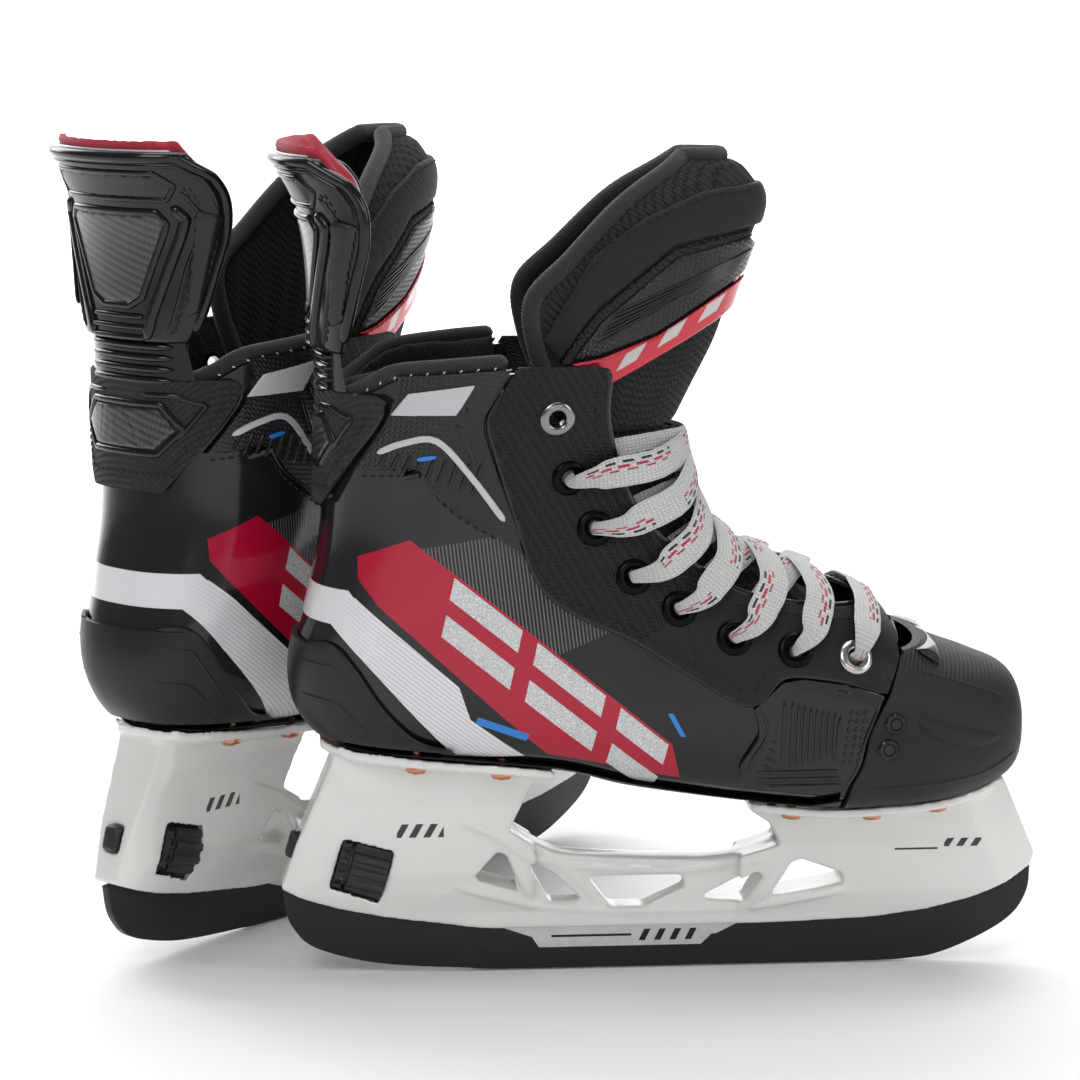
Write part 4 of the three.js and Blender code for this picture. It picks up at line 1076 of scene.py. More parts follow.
# ------------------------------------------------------------------ facings, their edges and stitches
EYELET = [(2.5, -2.6), (2.5, 0.2), (2.8, 0.9), (3.5, 1.3), (4.5, 1.2), (5.3, 0.75), (5.6, 0.3), (5.6, -0.3),
          (3.1, -0.5), (3.1, -2.6)]
SEATS = {side: [on_side(x, z, SKIN, side) for x, z in EYELET_SPOTS] for side in (LATERAL, MEDIAL)}
SIDE_NAME = {LATERAL: "lateral", MEDIAL: "medial"}
for side in (LATERAL, MEDIAL):
    facing = sheet(f"{SIDE_NAME[side]}_facing", SEAM_GAP, SKIN, [*throat, *backs], side)
    for point, normal in SEATS[side]:
        cut(facing, rod(point - normal * 8, point + normal * 8, 3.6))
    on_both_skates(smoothed(facing, 30), FACING, replaces=[f"{SIDE_NAME[side]}_facing"])
    edge_line = surface_path(throat[1:-2], 1.2, side)
    back_line = surface_path(backs[2:], 1.2, side)
    rolled = [sweep("edge", edge_line, round_profile(1.15, 1.15), taper=3),
              sweep("edge", back_line, round_profile(0.98, 0.98, 8), taper=3)]
    on_both_skates(smoothed(joined_up(rolled, f"{SIDE_NAME[side]}_facing_edge"), 60), GLOSS)

    eyelet = turned("eyelet", EYELET, 36, closed=True)
    rings = []
    for i, (point, normal) in enumerate(SEATS[side]):
        ring = set_down(copy_of(eyelet), point, normal)
        for slot, material in enumerate((ENAMEL, GUNMETAL, NICKEL)):
            ring.data.materials.append(material)
        index = 1 if i == 0 else 2 if i == 7 else 0
        for face in ring.data.polygons:
            face.material_index = index
        rings.append(ring)
    bpy.data.objects.remove(eyelet)
    group = smoothed(joined_up(rings, f"{SIDE_NAME[side]}_eyelets"), 50)
    slots = [face.material_index for face in group.data.polygons]
    for copy in on_both_skates(group, [ENAMEL, GUNMETAL, NICKEL], replaces=[f"{SIDE_NAME[side]}_eyelets"]):
        for face, index in zip(copy.data.polygons, slots):
            face.material_index = index


rows = []
for side in (LATERAL, MEDIAL):
    inner = smooth_line([(68, 118), (44, 121.5), (21, 126), (1.5, 138.5), (-14, 155.5), (-22, 181),
                         (-22, 196)], 6)
    rows.append(stitches("row", surface_path(inner, SKIN, side), 3.1, 2.1))
    outer = smooth_line([(-50, 196), (-53.5, 184), (-51.5, 174), (-44.5, 152), (-37.5, 134), (-26, 125),
                         (-10.5, 118),
                         (7.5, 107.5), (25, 98)], 6)
    rows.append(stitches("row", surface_path(outer, SKIN, side), 3.1, 2.1))
    cross = smooth_line([(26, 98.5), (31, 106), (44, 107), (57, 105), (70, 101.5)], 6)
    rows.append(stitches("row", surface_path(cross, SKIN, side), 3.1, 2.1))
    split = smooth_line([(8.5, 107.5), (6, 118), (6.5, 128), (10, 134)], 6)
    rows.append(stitches("row", surface_path(split, SKIN, side), 3.1, 2.1))
on_both_skates(smoothed(joined_up(rows, "facing_stitches"), 80), THREAD)

# ------------------------------------------------------------------ collar panels
for side in (LATERAL, MEDIAL):
    name = SIDE_NAME[side]
    on_both_skates(smoothed(sheet(f"{name}_collar_panel", SEAM_GAP, SKIN, COLLAR_PANEL, side), 30), EMBOSSED,
                   replaces=[f"{name}_collar_panel"])
    plate = sheet(f"{name}_collar_plate", 2.05, 2.9, [(-86, 186), (-80.5, 193), (-60, 196), (-64, 189.5),
                                                      (-66, 186.5)], side)
    on_both_skates(softened(plate, 0.35, 3), PLATE)
    line = smooth_line([(-90, 174), (-82, 177.5), (-72, 178.5), (-62, 168), (-51, 153)], 5)
    chevron = sweep("chevron", surface_path(line, SKIN, side, 1.0),
                    [(-1.1, -0.3), (-0.9, 0.5), (0.9, 0.5), (1.1, -0.3)], taper=3)
    chevron.name = f"{name}_collar_chevron"
    on_both_skates(smoothed(chevron), PLATE)
    dash = sweep("dash", surface_path([(-78, 172.5), (-72, 173.5)], SKIN, side, 0.6),
                 [(-0.8, -0.3), (-0.6, 0.5), (0.6, 0.5), (0.8, -0.3)], taper=3)
    dash.name = f"{name}_collar_dash"
    on_both_skates(smoothed(dash), BLUE_INK)
    bars = []
    for k in range(9):
        x = -90 + 3.6 * k
        bars.append(sweep("bar", surface_path([(x, 168.5 - 0.9 * k), (x + 3.2, 175 - 0.4 * k)], SKIN, side,
                                              0.8),
                          round_profile(0.62, 0.45, 8), taper=3))
    for low, high in (((-66, 184), (-60, 171)), ((-63, 189), (-59, 181))):
        bars.append(sweep("bar", surface_path([low, high], SKIN, side, 0.8), round_profile(0.7, 0.5, 8),
                          taper=3))
    edge = smooth_line([(-46, 145), (-69, 159.5), (-77, 169.3), (-81, 170.3), (-95, 169)], 4)
    bars.append(sweep("edge", surface_path(edge, 1.2, side), round_profile(0.98, 0.98, 8), taper=3))
    front = smooth_line([(-50, 199), (-56.3, 189), (-58.3, 184), (-56.3, 175), (-46, 145)], 4)
    bars.append(sweep("edge", surface_path(front, 1.2, side), round_profile(0.98, 0.98, 8), taper=3))
    on_both_skates(smoothed(joined_up(bars, f"{name}_collar_relief"), 60), GLOSS)
    seam = smooth_line([(-95, 166), (-80, 167), (-75.5, 165.5), (-68, 156.5), (-52, 146)], 5)
    row = stitches(f"{name}_collar_stitches", surface_path(seam, 0.1, side), 3.0, 2.0)
    on_both_skates(smoothed(row, 80), THREAD)

# ------------------------------------------------------------------ side panels
for side in (LATERAL, MEDIAL):
    name = SIDE_NAME[side]
    on_both_skates(smoothed(sheet(f"{name}_side_panel", SEAM_GAP, SKIN, SIDE_PANEL, side), 30), SATIN,
                   replaces=[f"{name}_side_panel"])
    relief = []
    for k in range(8):
        x = 37.5 + 1.9 * k
        relief.append(sweep("rib", surface_path([(x, 75 + 0.4 * k), (x + 0.6, 96.5 - 0.5 * k)], SKIN, side,
                                                0.9),
                            round_profile(0.62, 0.55, 8), taper=3))
    for k in range(6):
        start, end = (28.5 + 0.9 * k, 76 + 2.6 * k), (33.5, 73 + 3.2 * k)
        relief.append(sweep("rib", surface_path([start, end], SKIN, side, 0.8), round_profile(0.5, 0.4, 8),
                            taper=3))
    for k in range(3):
        z = 73 - 2.5 * k
        relief.append(sweep("bar", surface_path([(27 + 0.6 * k, z), (53 + 0.8 * k, z + 0.6)], SKIN, side,
                                                1.2),
                            round_profile(0.75, 0.55, 8), taper=3))
    for k in range(3):
        x = 54.6 + 2.3 * k
        for step in range(7):
            spot = on_side(x + 0.35 * step - 0.4, 76.5 + 2.6 * step, SKIN, side)
            relief.append(sweep("bead", [(spot[0] + Vector((0, 0, d)), spot[1]) for d in (-0.9, -0.4, 0, 0.4,
                                                                                          0.9)],
                                round_profile(0.75, 0.55, 6), taper=2))
    for line in ([(66, 95.5), (64, 91), (61.2, 84), (58.6, 74), (55.5, 68.5)],
                 [(28, 94.5), (30, 89), (30, 85), (25.6, 77), (24.6, 73)],
                 [(35.4, 97), (35, 76)], [(53, 92), (51.5, 76)]):
        relief.append(sweep("frame", surface_path(smooth_line(line, 4), SKIN, side, 1.2),
                            round_profile(0.6, 0.45, 8), taper=3))
    border = smooth_line([(26.5, 93.8), (28.2, 89), (28.2, 85), (23.8, 77), (22.8, 73), (24.3, 67.4)], 4)
    relief.append(sweep("edge", surface_path(border, 1.2, side), round_profile(0.98, 0.98, 8), taper=3))
    on_both_skates(smoothed(joined_up(relief, f"{name}_side_relief"), 60), GLOSS)

# ------------------------------------------------------------------ liner and footbed
LINER_OUTLINE = [*raised(SOLE_LINE[6:], 12.5), (-130, 89), (-130, 187.5), (-100, 190), (-84, 200),
                 (-50, 202.5),
                 (-49, 185), (-46, 163), (-36, 141), (-22, 121), (-8, 109)]


def padded():
    return lambda copy: copy


def swollen(piece, voxel, pressure, most, frames=14):
    """Blows a remeshed pad up like cushioning: no point moves further than most, in millimetres."""
    modified(piece, "REMESH", mode="VOXEL", voxel_size=voxel * MM)
    rest = np.array([v.co[:] for v in piece.data.vertices])
    only(piece)
    cloth = piece.modifiers.new("cloth", "CLOTH")
    cloth.settings.use_pressure = True
    cloth.settings.uniform_pressure_force = pressure
    cloth.settings.effector_weights.gravity = 0
    cloth.settings.quality = 4
    cloth.point_cache.frame_start, cloth.point_cache.frame_end = 1, frames
    for step in range(1, frames + 1):
        bpy.context.scene.frame_set(step)
    bpy.ops.object.modifier_apply(modifier=cloth.name)
    bpy.context.scene.frame_set(1)
    moved = np.array([v.co[:] for v in piece.data.vertices]) - rest
    far = np.linalg.norm(moved, axis=1, keepdims=True)
    moved *= np.minimum(1, most * MM / np.maximum(far, 1e-9))
    for vertex, spot in zip(piece.data.vertices, rest + moved):
        vertex.co = spot
    modified(piece, "SMOOTH", factor=0.5, iterations=5)
    modified(piece, "SUBSURF", levels=1, render_levels=1)
    only(piece)
    bpy.ops.object.shade_smooth()
    return piece


liner = sheet("liner", -7.6, -3.4, LINER_OUTLINE)
on_both_skates(swollen(liner, 2.2, 2.0, 0.7), LINING, replaces=["liner"], also=padded())

footbed = form_solid(-4.3)
footbed.name = "footbed"
within(footbed, prism([*raised(SOLE_LINE, 9.1), (-104, 84), (-104, 60), (112, 50)]))
on_both_skates(softened(footbed, 1.5, 8), PAD_CLOTH, replaces=["footbed"], also=padded())

collar_roll = []
for side in (LATERAL, MEDIAL):
    rim = [(-106, 187.5), (-100, 190), (-92, 194.5), (-84, 199), (-68, 201), (-50, 202.5)]
    collar_roll.append(sweep("roll", surface_path(smooth_line(rim, 5), -1.2, side, 0.7),
                             round_profile(2.5, 2.1, 12), taper=4, ripple=0.025))
on_both_skates(smoothed(joined_up(collar_roll, "collar_binding"), 60), BINDING)
ends = []
for side in (LATERAL, MEDIAL):
    rim = [(-98, 190.2), (-92, 193.6), (-84, 197.6), (-68, 199.6), (-50, 201)]
    ends.append(stitches("row", surface_path(smooth_line(rim, 5), 1.1, side), 5.2, 1.1, 0.3, lean=0.7))
on_both_skates(smoothed(joined_up(ends, "collar_thread"), 80), PLATE)

# ------------------------------------------------------------------ tongue
TONGUE_SWEEP, GUARD_SWEEP = math.radians(88), math.radians(78)
TONGUE_LEVELS = smooth_line([(178, 4, 34, 26), (189, 9.5, 44, 27), (205, 17.5, 58, 28), (220, 22.5, 64, 28),
                             (232, 27, 57, 26), (248, 32, 46, 20.5), (258, 27, 26, 13), (262.5, 20, 13, 7)],
                            6)
GUARD_LEVELS = smooth_line([(203.5, -110, -9.5, 24), (213, -110, -11, 28), (227, -110.5, -14.5, 31.5),
                            (240, -112, -18.5, 34), (252, -115.5, -20, 34), (264, -123, -16, 31)], 6)
TONGUE_AXIS, GUARD_AXIS = (TONGUE_LEVELS, TONGUE_SWEEP), (GUARD_LEVELS, GUARD_SWEEP)


def round_leg(shape, z, share, inset=0.0):
    """A point on a sheet bent round the leg: height, share of the way round, depth in from its face."""
    levels, sweep_angle = shape
    crown, reach, half = (np.interp(z, levels[:, 0], levels[:, k]) for k in (1, 2, 3))
    turn, scale = sweep_angle * share, 1 - math.cos(sweep_angle)
    to_leg = math.copysign(inset, reach * (1 if inset >= 0 else -1))
    return np.array([crown - to_leg - (reach / scale - to_leg) * (1 - math.cos(turn)),
                     (half / math.sin(sweep_angle) - inset) * math.sin(turn), z])


def leg_sheet(name, shape, low, high, face, back, reach=1.0, steps=44, levels=60, blunt=3.0):
    """A closed sheet round the leg from its face to its back depth, with blunt rounded edges."""
    rings = []
    for z in np.linspace(low, high, levels):
        end = min(1.0, math.sqrt(max(1 - (1 - min(z - low, high - z) / blunt) ** 2, 0))) if min(
            z - low, high - z) < blunt else 1.0
        ring = []
        for sign in (-1, 1):
            for k in range(steps + 1):
                share = -sign * (-1 + 2 * k / steps)
                thick = max(end, 0.05) * max(1 - abs(share) ** 10, 0.02) ** 0.5
                middle, half = (face + back) / 2, (back - face) / 2 * thick
                ring.append(round_leg(shape, z, share * reach, middle + sign * half))
        rings.append(ring)
    return skin_rings(name, rings)


def leg_path(shape, line, inset=0.0, spacing=0.9, closed=False):
    """Places and normals along a line of (share round, height) on a sheet round the leg."""
    path = []
    rows = np.array([(share * 60, z) for share, z in line], float)
    for share, z in resampled(rows, spacing, closed):
        share /= 60
        point = Vector(round_leg(shape, z, share, inset))
        side = Vector(round_leg(shape, z, share + 0.02, inset)) - point
        rise = Vector(round_leg(shape, z + 0.3, share, inset)) - point
        normal = side.cross(rise).normalized()
        away = point - Vector(round_leg(shape, z, share, inset + 2))
        path.append((point, normal if normal.dot(away) > 0 else -normal))
    return path


TONGUE_BODY = ("root", "{}_tongue_body", (0.004, 0, 0.170), (0.004, 0, 0.186))
lower = sheet("tongue_lower", -10.2, -5.8, [*TONGUE_EDGE, (-28, 183), (34, 183), (90, 140), (73, 116)])
on_both_skates(softened(lower, 1.1, 6), MESH_CLOTH, body=TONGUE_BODY, replaces=["tongue_lower"],
               also=padded())
on_both_skates(smoothed(leg_sheet("tongue_upper", TONGUE_AXIS, 178, 262, 0.2, 5.2), 60), MESH_CLOTH,
               body="{}_tongue_body", replaces=["tongue_upper"], also=padded())


def tongue_patch(name, outline, face, back, material, voxel=0.8, rounds=5, fill=None):
    patch = leg_sheet(name, TONGUE_AXIS, 178, 262, face, back, levels=76)
    within(patch, prism(outline))
    patch = softened(patch, voxel, rounds) if voxel else smoothed(patch, 35)
    patch.name = name
    return on_both_skates(patch, material, body="{}_tongue_body", also=padded() if fill else None)


tongue_patch("tongue_padding", [(-39, 208), (-23.5, 233.5), (-7, 245), (12, 252.6), (34, 254.5), (36, 241),
                                (27, 240.5),
                                (2.5, 236), (-22, 217), (-34, 201)], -1.7, 1.2, PAD_CLOTH, 0.9, 7, fill=0.6)
tongue_patch("tongue_mesh_border", [(-33.5, 200.5), (-22, 216), (2.5, 235), (27, 239.6), (29, 237.2),
                                    (3.6, 232),
                                    (-20.5, 213), (-30.5, 200)], -1.2, 0.8, BORDER, 0.6, 4)
tongue_patch("tongue_badge_plate", [(-30, 201.4), (-20.6, 213.4), (3.3, 232.6), (27, 237.6), (35, 230.6),
                                    (19, 222),
                                    (-3, 209.5), (-21, 203.2)], -2.2, -0.4, EMBOSSED, 0.6, 3)
red_outline = [(-30.5, 200.6), (-18, 194), (19, 213), (39.5, 226), (35.6, 229.8), (19, 221), (-3, 208.6),
               (-21, 202.3)]
badge = leg_sheet("tongue_badge", TONGUE_AXIS, 178, 262, -2.6, -0.6, levels=76)
within(badge, prism(red_outline))
on_both_skates(softened(badge, 0.45, 3), BADGE, body="{}_tongue_body", replaces=["tongue_badge"])


def on_tongue(x, z, side, inset=0.0):
    """The place on the tongue's face seen at (x, z) from one side."""
    shares = np.linspace(0, 1, 120)
    reached = np.array([round_leg(TONGUE_AXIS, z, s, inset)[0] for s in shares])
    return side * float(shares[np.argmin(np.abs(reached - x))])


detail = []
for side in (LATERAL, MEDIAL):
    for k in range(7):
        shift = 2.05 * k
        line = [(-25.5 + 0.62 * shift, 205.4 + 0.9 * shift), (2 + 0.7 * shift, 219.8 + 0.62 * shift),
                (22 + 0.35 * shift, 228.4 + 0.42 * shift)]
        shares = [(on_tongue(x, z, side), z) for x, z in resampled(line, 4.0)]
        detail.append(sweep("ridge", leg_path(TONGUE_AXIS, shares, -2.2, 1.2), round_profile(0.5, 0.42, 6),
                            taper=3))
on_both_skates(smoothed(joined_up(detail, "tongue_badge_ridges"), 60), GLOSS, body="{}_tongue_body")

edge = []
side_up = [(1.0, z) for z in np.linspace(181, 262, 34)]
over = side_up + [(share, 262) for share in (0.7, 0.4, 0, -0.4, -0.7)] + [(-s, z) for s,
                                                                          z in reversed(side_up)]
edge_path = leg_path(TONGUE_AXIS, over, 2.6, 0.7)
on_both_skates(smoothed(sweep("tongue_binding", edge_path, round_profile(2.9, 3.1, 12), taper=5,
                              ripple=0.02), 60),
               BINDING, body="{}_tongue_body")
lines = []
for side in (LATERAL, MEDIAL):
    for line, inset in (([(-35, 212), (-21.5, 234), (-6.5, 243.4), (12, 250.8), (28, 252.4)], -1.75),
                        ([(-31.5, 203.5), (-21.3, 215.6), (2.9, 234.2), (24, 238.8)], -1.3)):
        shares = [(on_tongue(x, z, side, inset), z) for x, z in resampled(smooth_line(line, 5), 3.0)]
        lines.append(stitches("row", leg_path(TONGUE_AXIS, shares, inset), 2.8, 1.9, 0.34))
on_both_skates(smoothed(joined_up(lines, "tongue_stitches"), 80), THREAD, body="{}_tongue_body")

# ------------------------------------------------------------------ tendon guard
GUARD_BODY = ("root", "{}_guard_body", (-0.1115, 0, 0.197), (-0.1115, 0, 0.2085))


def round_back(z, offset, widest, spacing=0.8):
    """Places round the back of the heel at a height, out to an angle each way."""
    return [meet(offset, (-60 + 160 * math.cos(math.pi + a), 160 * math.sin(math.pi + a), z),
                 (-math.cos(math.pi + a), -math.sin(math.pi + a), 0))
            for a in np.linspace(-widest, widest, int(100 * widest / spacing))]


base = sheet("guard_base", 0.3, 3.5, [(-130, 156), (-107, 156), (-101, 167), (-91, 182), (-87, 190),
                                      (-90, 191.5), (-130, 191.5)])
on_both_skates(smoothed(base, 30), BORDER, replaces=["guard_base"])
ribs = [sheet("flex", 0.4, 2.2, [(-130, 189.6), (-98.5, 189.6), (-101.5, 206), (-130, 206)])]
for k in range(4):
    ribs.append(sweep("rib", round_back(191.4 + 3.6 * k, 2.1, 0.4), round_profile(1.35, 1.75, 10), taper=8))
on_both_skates(smoothed(joined_up(ribs, "guard_flex_ribs"), 50), GLOSS, body=GUARD_BODY,
               replaces=["guard_flex_ribs"])
on_both_skates(smoothed(leg_sheet("guard_upper", GUARD_AXIS, 203.5, 264, 0.0, 3.2, blunt=1.6), 60), GLOSS,
               body="{}_guard_body", replaces=["guard_upper"])

felt = leg_sheet("guard_felt", GUARD_AXIS, 204, 264, 3.7, 6.6, blunt=1.5, levels=70)
for vertex in felt.data.vertices:
    high = max(vertex.co.z / MM - 250, 0) / 14
    vertex.co.z += 3.4 * MM * high**2
    vertex.co.x -= 1.2 * MM * high**2
noise_spots = np.array([v.co[:] for v in felt.data.vertices]) * 900
for vertex, spot in zip(felt.data.vertices, noise_spots):
    vertex.co += Vector((math.sin(spot[1] * 1.7 + spot[2]), math.sin(spot[2] * 1.3 + spot[0]),
                         math.sin(spot[1] * 2.3))) * 0.00016
on_both_skates(smoothed(felt, 60), FELT, body="{}_guard_body", replaces=["guard_felt"], also=padded())

raw = leg_path(GUARD_AXIS, [(-1, 208), (-1, 258), (-0.8, 264), (0.8, 264), (1, 258), (1, 208)], 3.45, 0.8)
on_both_skates(smoothed(sweep("guard_raw_edge", raw, round_profile(0.8, 0.5, 8), taper=4), 60), PLATE,
               body="{}_guard_body")


def guard_loop(line, inset, profile, closed=True):
    return sweep("loop", leg_path(GUARD_AXIS, line, inset, 0.8, closed), profile, closed=closed,
                 taper=0 if closed else 4)


INSET = [(-0.4, 245), (0.4, 245), (0.47, 241.5), (0.27, 218), (0.14, 215), (-0.14, 215), (-0.27, 218),
         (-0.47, 241.5)]
TRAPEZOID = [(-0.5, 257.5), (0.5, 257.5), (0.6, 253.5), (0.5, 249), (-0.5, 249), (-0.6, 253.5)]
frames = [guard_loop(INSET, 0.0, round_profile(1.3, 1.1, 10)),
          guard_loop(TRAPEZOID, 0.0, round_profile(1.0, 0.8, 10))]
for side in (LATERAL, MEDIAL):
    frames.append(guard_loop([(0.36 * side, 204.5), (0.38 * side, 212), (0.52 * side, 230),
                              (0.62 * side, 243),
                              (0.52 * side, 247)], 0.0, round_profile(2.0, 1.7, 10), closed=False))
    frames.append(guard_loop([(0.6 * side, 206), (0.66 * side, 228), (0.76 * side, 244), (0.62 * side, 252)],
                             0.0,
                             round_profile(0.7, 0.6, 10), closed=False))
frames.append(guard_loop([(-1, 207), (-1, 256), (-0.82, 262.5), (0.82, 262.5), (1, 256), (1, 207)], 1.4,
                         round_profile(1.9, 1.9, 12), closed=False))
for z, share in ((211.8, 0.3), (208.4, 0.36), (205.2, 0.36)):
    frames.append(guard_loop([(-share, z), (share, z)], 0.0, round_profile(1.0, 1.3, 10), closed=False))
frames.append(guard_loop([(-0.9, 246), (-0.88, 255), (-0.72, 259.8), (0.72, 259.8), (0.88, 255), (0.9, 246)],
                         0.0,
                         round_profile(0.7, 0.5, 8), closed=False))
on_both_skates(smoothed(joined_up(frames, "guard_frame"), 50), GLOSS, body="{}_guard_body")


def guard_patch(name, outline, face, material):
    """A flat patch over part of the guard's outer face; its outline is (share round, height)."""
    shares, heights = zip(*outline)
    patch = leg_sheet(name, GUARD_AXIS, min(heights), max(heights), face, 0.4, levels=30)
    drawn_outline = [(round_leg(GUARD_AXIS, z, s)[1], z) for s, z in outline]
    within(patch, drawn_through(drawn_outline, -140, -85, "front"))
    patch = softened(patch, 0.6, 3)
    patch.name = name
    return on_both_skates(patch, material, body="{}_guard_body")


guard_patch("guard_inset", INSET, -0.5, CARBON)
guard_patch("guard_plate", TRAPEZOID, -0.4, SATIN)
for side, word in ((LATERAL, "lateral"), (MEDIAL, "medial")):
    guard_patch(f"guard_{word}_pad", [(0.74 * side, 246), (0.97 * side, 244), (0.97 * side, 214),
                                      (0.8 * side, 212)], -1.7, SATIN)
for side, word in ((LATERAL, "lateral"), (MEDIAL, "medial")):
    guard_patch(f"guard_{word}_border", [(0.63 * side, 252), (0.77 * side, 244), (0.72 * side, 228),
                                         (0.72 * side, 206),
                                         (0.6 * side, 206), (0.65 * side, 228), (0.74 * side, 243)], -0.4,
                BORDER)
low = sheet("guard_base_inset", 3.4, 4.1)
within(low, drawn_through([(-14, 182.5), (14, 182.5), (20, 176), (13, 169.5), (-13, 169.5), (-20, 176)],
                          -130, -100, "front"))
on_both_skates(softened(low, 0.6, 3), CARBON)


def heel_path(outline, offset, closed=False):
    """A line (y, z) laid on the back of the heel."""
    return [meet(offset, (-200, y, z), (1, 0, 0)) for y, z in resampled(outline, 1.0, closed)]


relief = [sweep("loop", heel_path([(-15, 184), (15, 184), (21.5, 176.2), (14, 168.2), (-14, 168.2),
                                   (-21.5, 176.2)],
                                  3.5, True), round_profile(1.1, 0.9, 8), closed=True)]
for side in (LATERAL, MEDIAL):
    relief.append(sweep("wedge", heel_path([(8 * side, 187), (19 * side, 187), (27 * side, 184),
                                            (20 * side, 173)], 3.5),
                        round_profile(0.9, 0.8, 8), taper=4))
on_both_skates(smoothed(joined_up(relief, "guard_base_frame"), 50), GLOSS)
edge = [(x, z) for x, z in smooth_line([(-110, 156.6), (-107, 157), (-101, 167.5), (-91, 182), (-87.6, 189)],
                                       4)]
rolled = [sweep("edge", surface_path(edge, 1.9, side), round_profile(1.65, 1.65, 10), taper=3)
          for side in (LATERAL, MEDIAL)]
on_both_skates(smoothed(joined_up(rolled, "guard_base_edge"), 60), GLOSS)
rows = [stitches("row", round_back(161.5, 3.6, 0.42), 2.7, 1.8, 0.32)]
for side in (LATERAL, MEDIAL):
    line = smooth_line([(-107, 161), (-104, 167), (-95, 181.5), (-92, 187)], 4)
    rows.append(stitches("row", surface_path(line, 3.6, side), 2.7, 1.8, 0.32))
on_both_skates(smoothed(joined_up(rows, "guard_base_stitches"), 80), THREAD)

rows = []
for side in (LATERAL, MEDIAL):
    for shift in (0.0, 0.045):
        line = [((0.64 + shift) * side, 207), ((0.68 + shift) * side, 228), ((0.73 + shift) * side, 243),
                ((0.66 + shift) * side, 254)]
        rows.append(stitches("row", leg_path(GUARD_AXIS, line, 0.0), 2.6, 1.7, 0.3))
on_both_skates(smoothed(joined_up(rows, "guard_stitches"), 80), THREAD, body="{}_guard_body")

# ------------------------------------------------------------------ lace
LACE_THICK, LACE_WIDE, IN_EYELET = 1.5, 9.4, 0.42
LACE_RUN = [(0.1, 6.7, 0.7), (0.2, 5.8, 1), (0.34, 4.8, 1), (0.5, 2.2, 1), (0.64, -1, 1), (0.76, -2.5, 0.95),
            (0.9, -2.5, 0.7)]
LACE_BAR = [(0.5, 3.6, 1), (0.66, 4.4, 1), (0.8, 6.3, 1), (0.9, 7.2, 0.7)]
LACE_UNDER = [(0.3, -2.5, 0.7), (0.7, -2.5, 0.7)]


def lace_stops(start, end, rise, run):
    outward_way = Vector((math.cos(rise), 0, math.sin(rise)))
    core = start.lerp(end, 0.5) - outward_way * 20
    core.y = 0
    stops = []
    for share, height, width in run:
        over_spot = start.lerp(end, share)
        inward = (core - over_spot).normalized()
        point, normal = meet(height, over_spot - inward * 60, inward)
        stops.append((point, normal, width * LACE_WIDE))
    return stops


def eyelet_stops(point, normal):
    return [(point + normal * height, normal, IN_EYELET * LACE_WIDE) for height in (-4.4, 0, 4)]


def lace_half(name, start_side):
    hole = lambda i, side: Vector(SEATS[side][i][0])
    rise = lambda i: math.radians(10 + (i - 1) / 6 * 56)
    stops = lace_stops(hole(7, -start_side), hole(7, start_side), rise(7), LACE_BAR)
    stops += reversed(eyelet_stops(*SEATS[start_side][7]))
    stops += lace_stops(hole(7, start_side), hole(6, start_side), rise(6.5), LACE_UNDER)
    side = start_side
    for i in range(6, 0, -1):
        stops += eyelet_stops(*SEATS[side][i])
        following = hole(i - 1, -side) if i > 1 else hole(1, -side).lerp(hole(0, -side), 0.3)
        stops += lace_stops(hole(i, side), following, rise(i - 0.5), LACE_RUN if i > 1 else LACE_RUN[:-1])
        side = -side
    table = smooth_line([(*p, *n, w) for p, n, w in stops], 7)
    return table


def lace_mesh(name, table):
    """A flat knitted strip along a table of place, normal and width, with its own UV map."""
    sides = 14
    profile = []
    for k in range(sides):
        turn = 2 * math.pi * k / sides
        profile.append((0.5 * math.copysign(abs(math.cos(turn)) ** 0.55, math.cos(turn)),
                        0.5 * math.copysign(abs(math.sin(turn)) ** 0.8, math.sin(turn))))
    points, across, rings, far = table[:, :3], None, [], 0.0
    reach = []
    for i, row in enumerate(table):
        before, after = points[max(i - 1, 0)], points[min(i + 1, len(points) - 1)]
        along = Vector(after - before).normalized()
        flat = Vector(row[3:6]).cross(along)
        if flat.length < 0.5 and across is not None:
            flat = across - along * along.dot(across)
        flat.normalize()
        if across is not None and flat.dot(across) < 0:
            flat.negate()
        across = flat if across is None else (across * 0.45 + flat * 0.55).normalized()
        up = along.cross(across).normalized()
        far += float(np.linalg.norm(points[i] - points[i - 1])) if i else 0.0
        reach.append(far)
        wide = row[6] * (1 + 0.012 * math.sin(far * 0.9))
        tall = LACE_THICK * min(2.2, LACE_WIDE / row[6]) ** 0.5
        rings.append([Vector(points[i]) + across * (u * wide) + up * (v * tall) for u, v in profile])
    corners = [np.array(p) * MM for ring in rings for p in ring]
    faces = []
    for r in range(len(rings) - 1):
        for k in range(sides):
            n = (k + 1) % sides
            faces.append((r * sides + k, r * sides + n, (r + 1) * sides + n, (r + 1) * sides + k))
    faces += [tuple(reversed(range(sides))), tuple((len(rings) - 1) * sides + k for k in range(sides))]
    piece = mesh_piece(name, corners, faces)
    chart = piece.data.uv_layers.new(name="lace")
    for corner, loop in enumerate(piece.data.loops):
        chart.data[corner].uv = (reach[loop.vertex_index // sides],
                                 0.5 + profile[loop.vertex_index % sides][0])
    mesh = bmesh.new()
    mesh.from_mesh(piece.data)
    bmesh.ops.recalc_face_normals(mesh, faces=mesh.faces)
    mesh.to_mesh(piece.data)
    mesh.free()
    return piece


halves = [lace_mesh("lace_half", lace_half("half", side)) for side in (LATERAL, MEDIAL)]
on_both_skates(smoothed(joined_up(halves, "lace"), 60), LACE, replaces=["lace"])

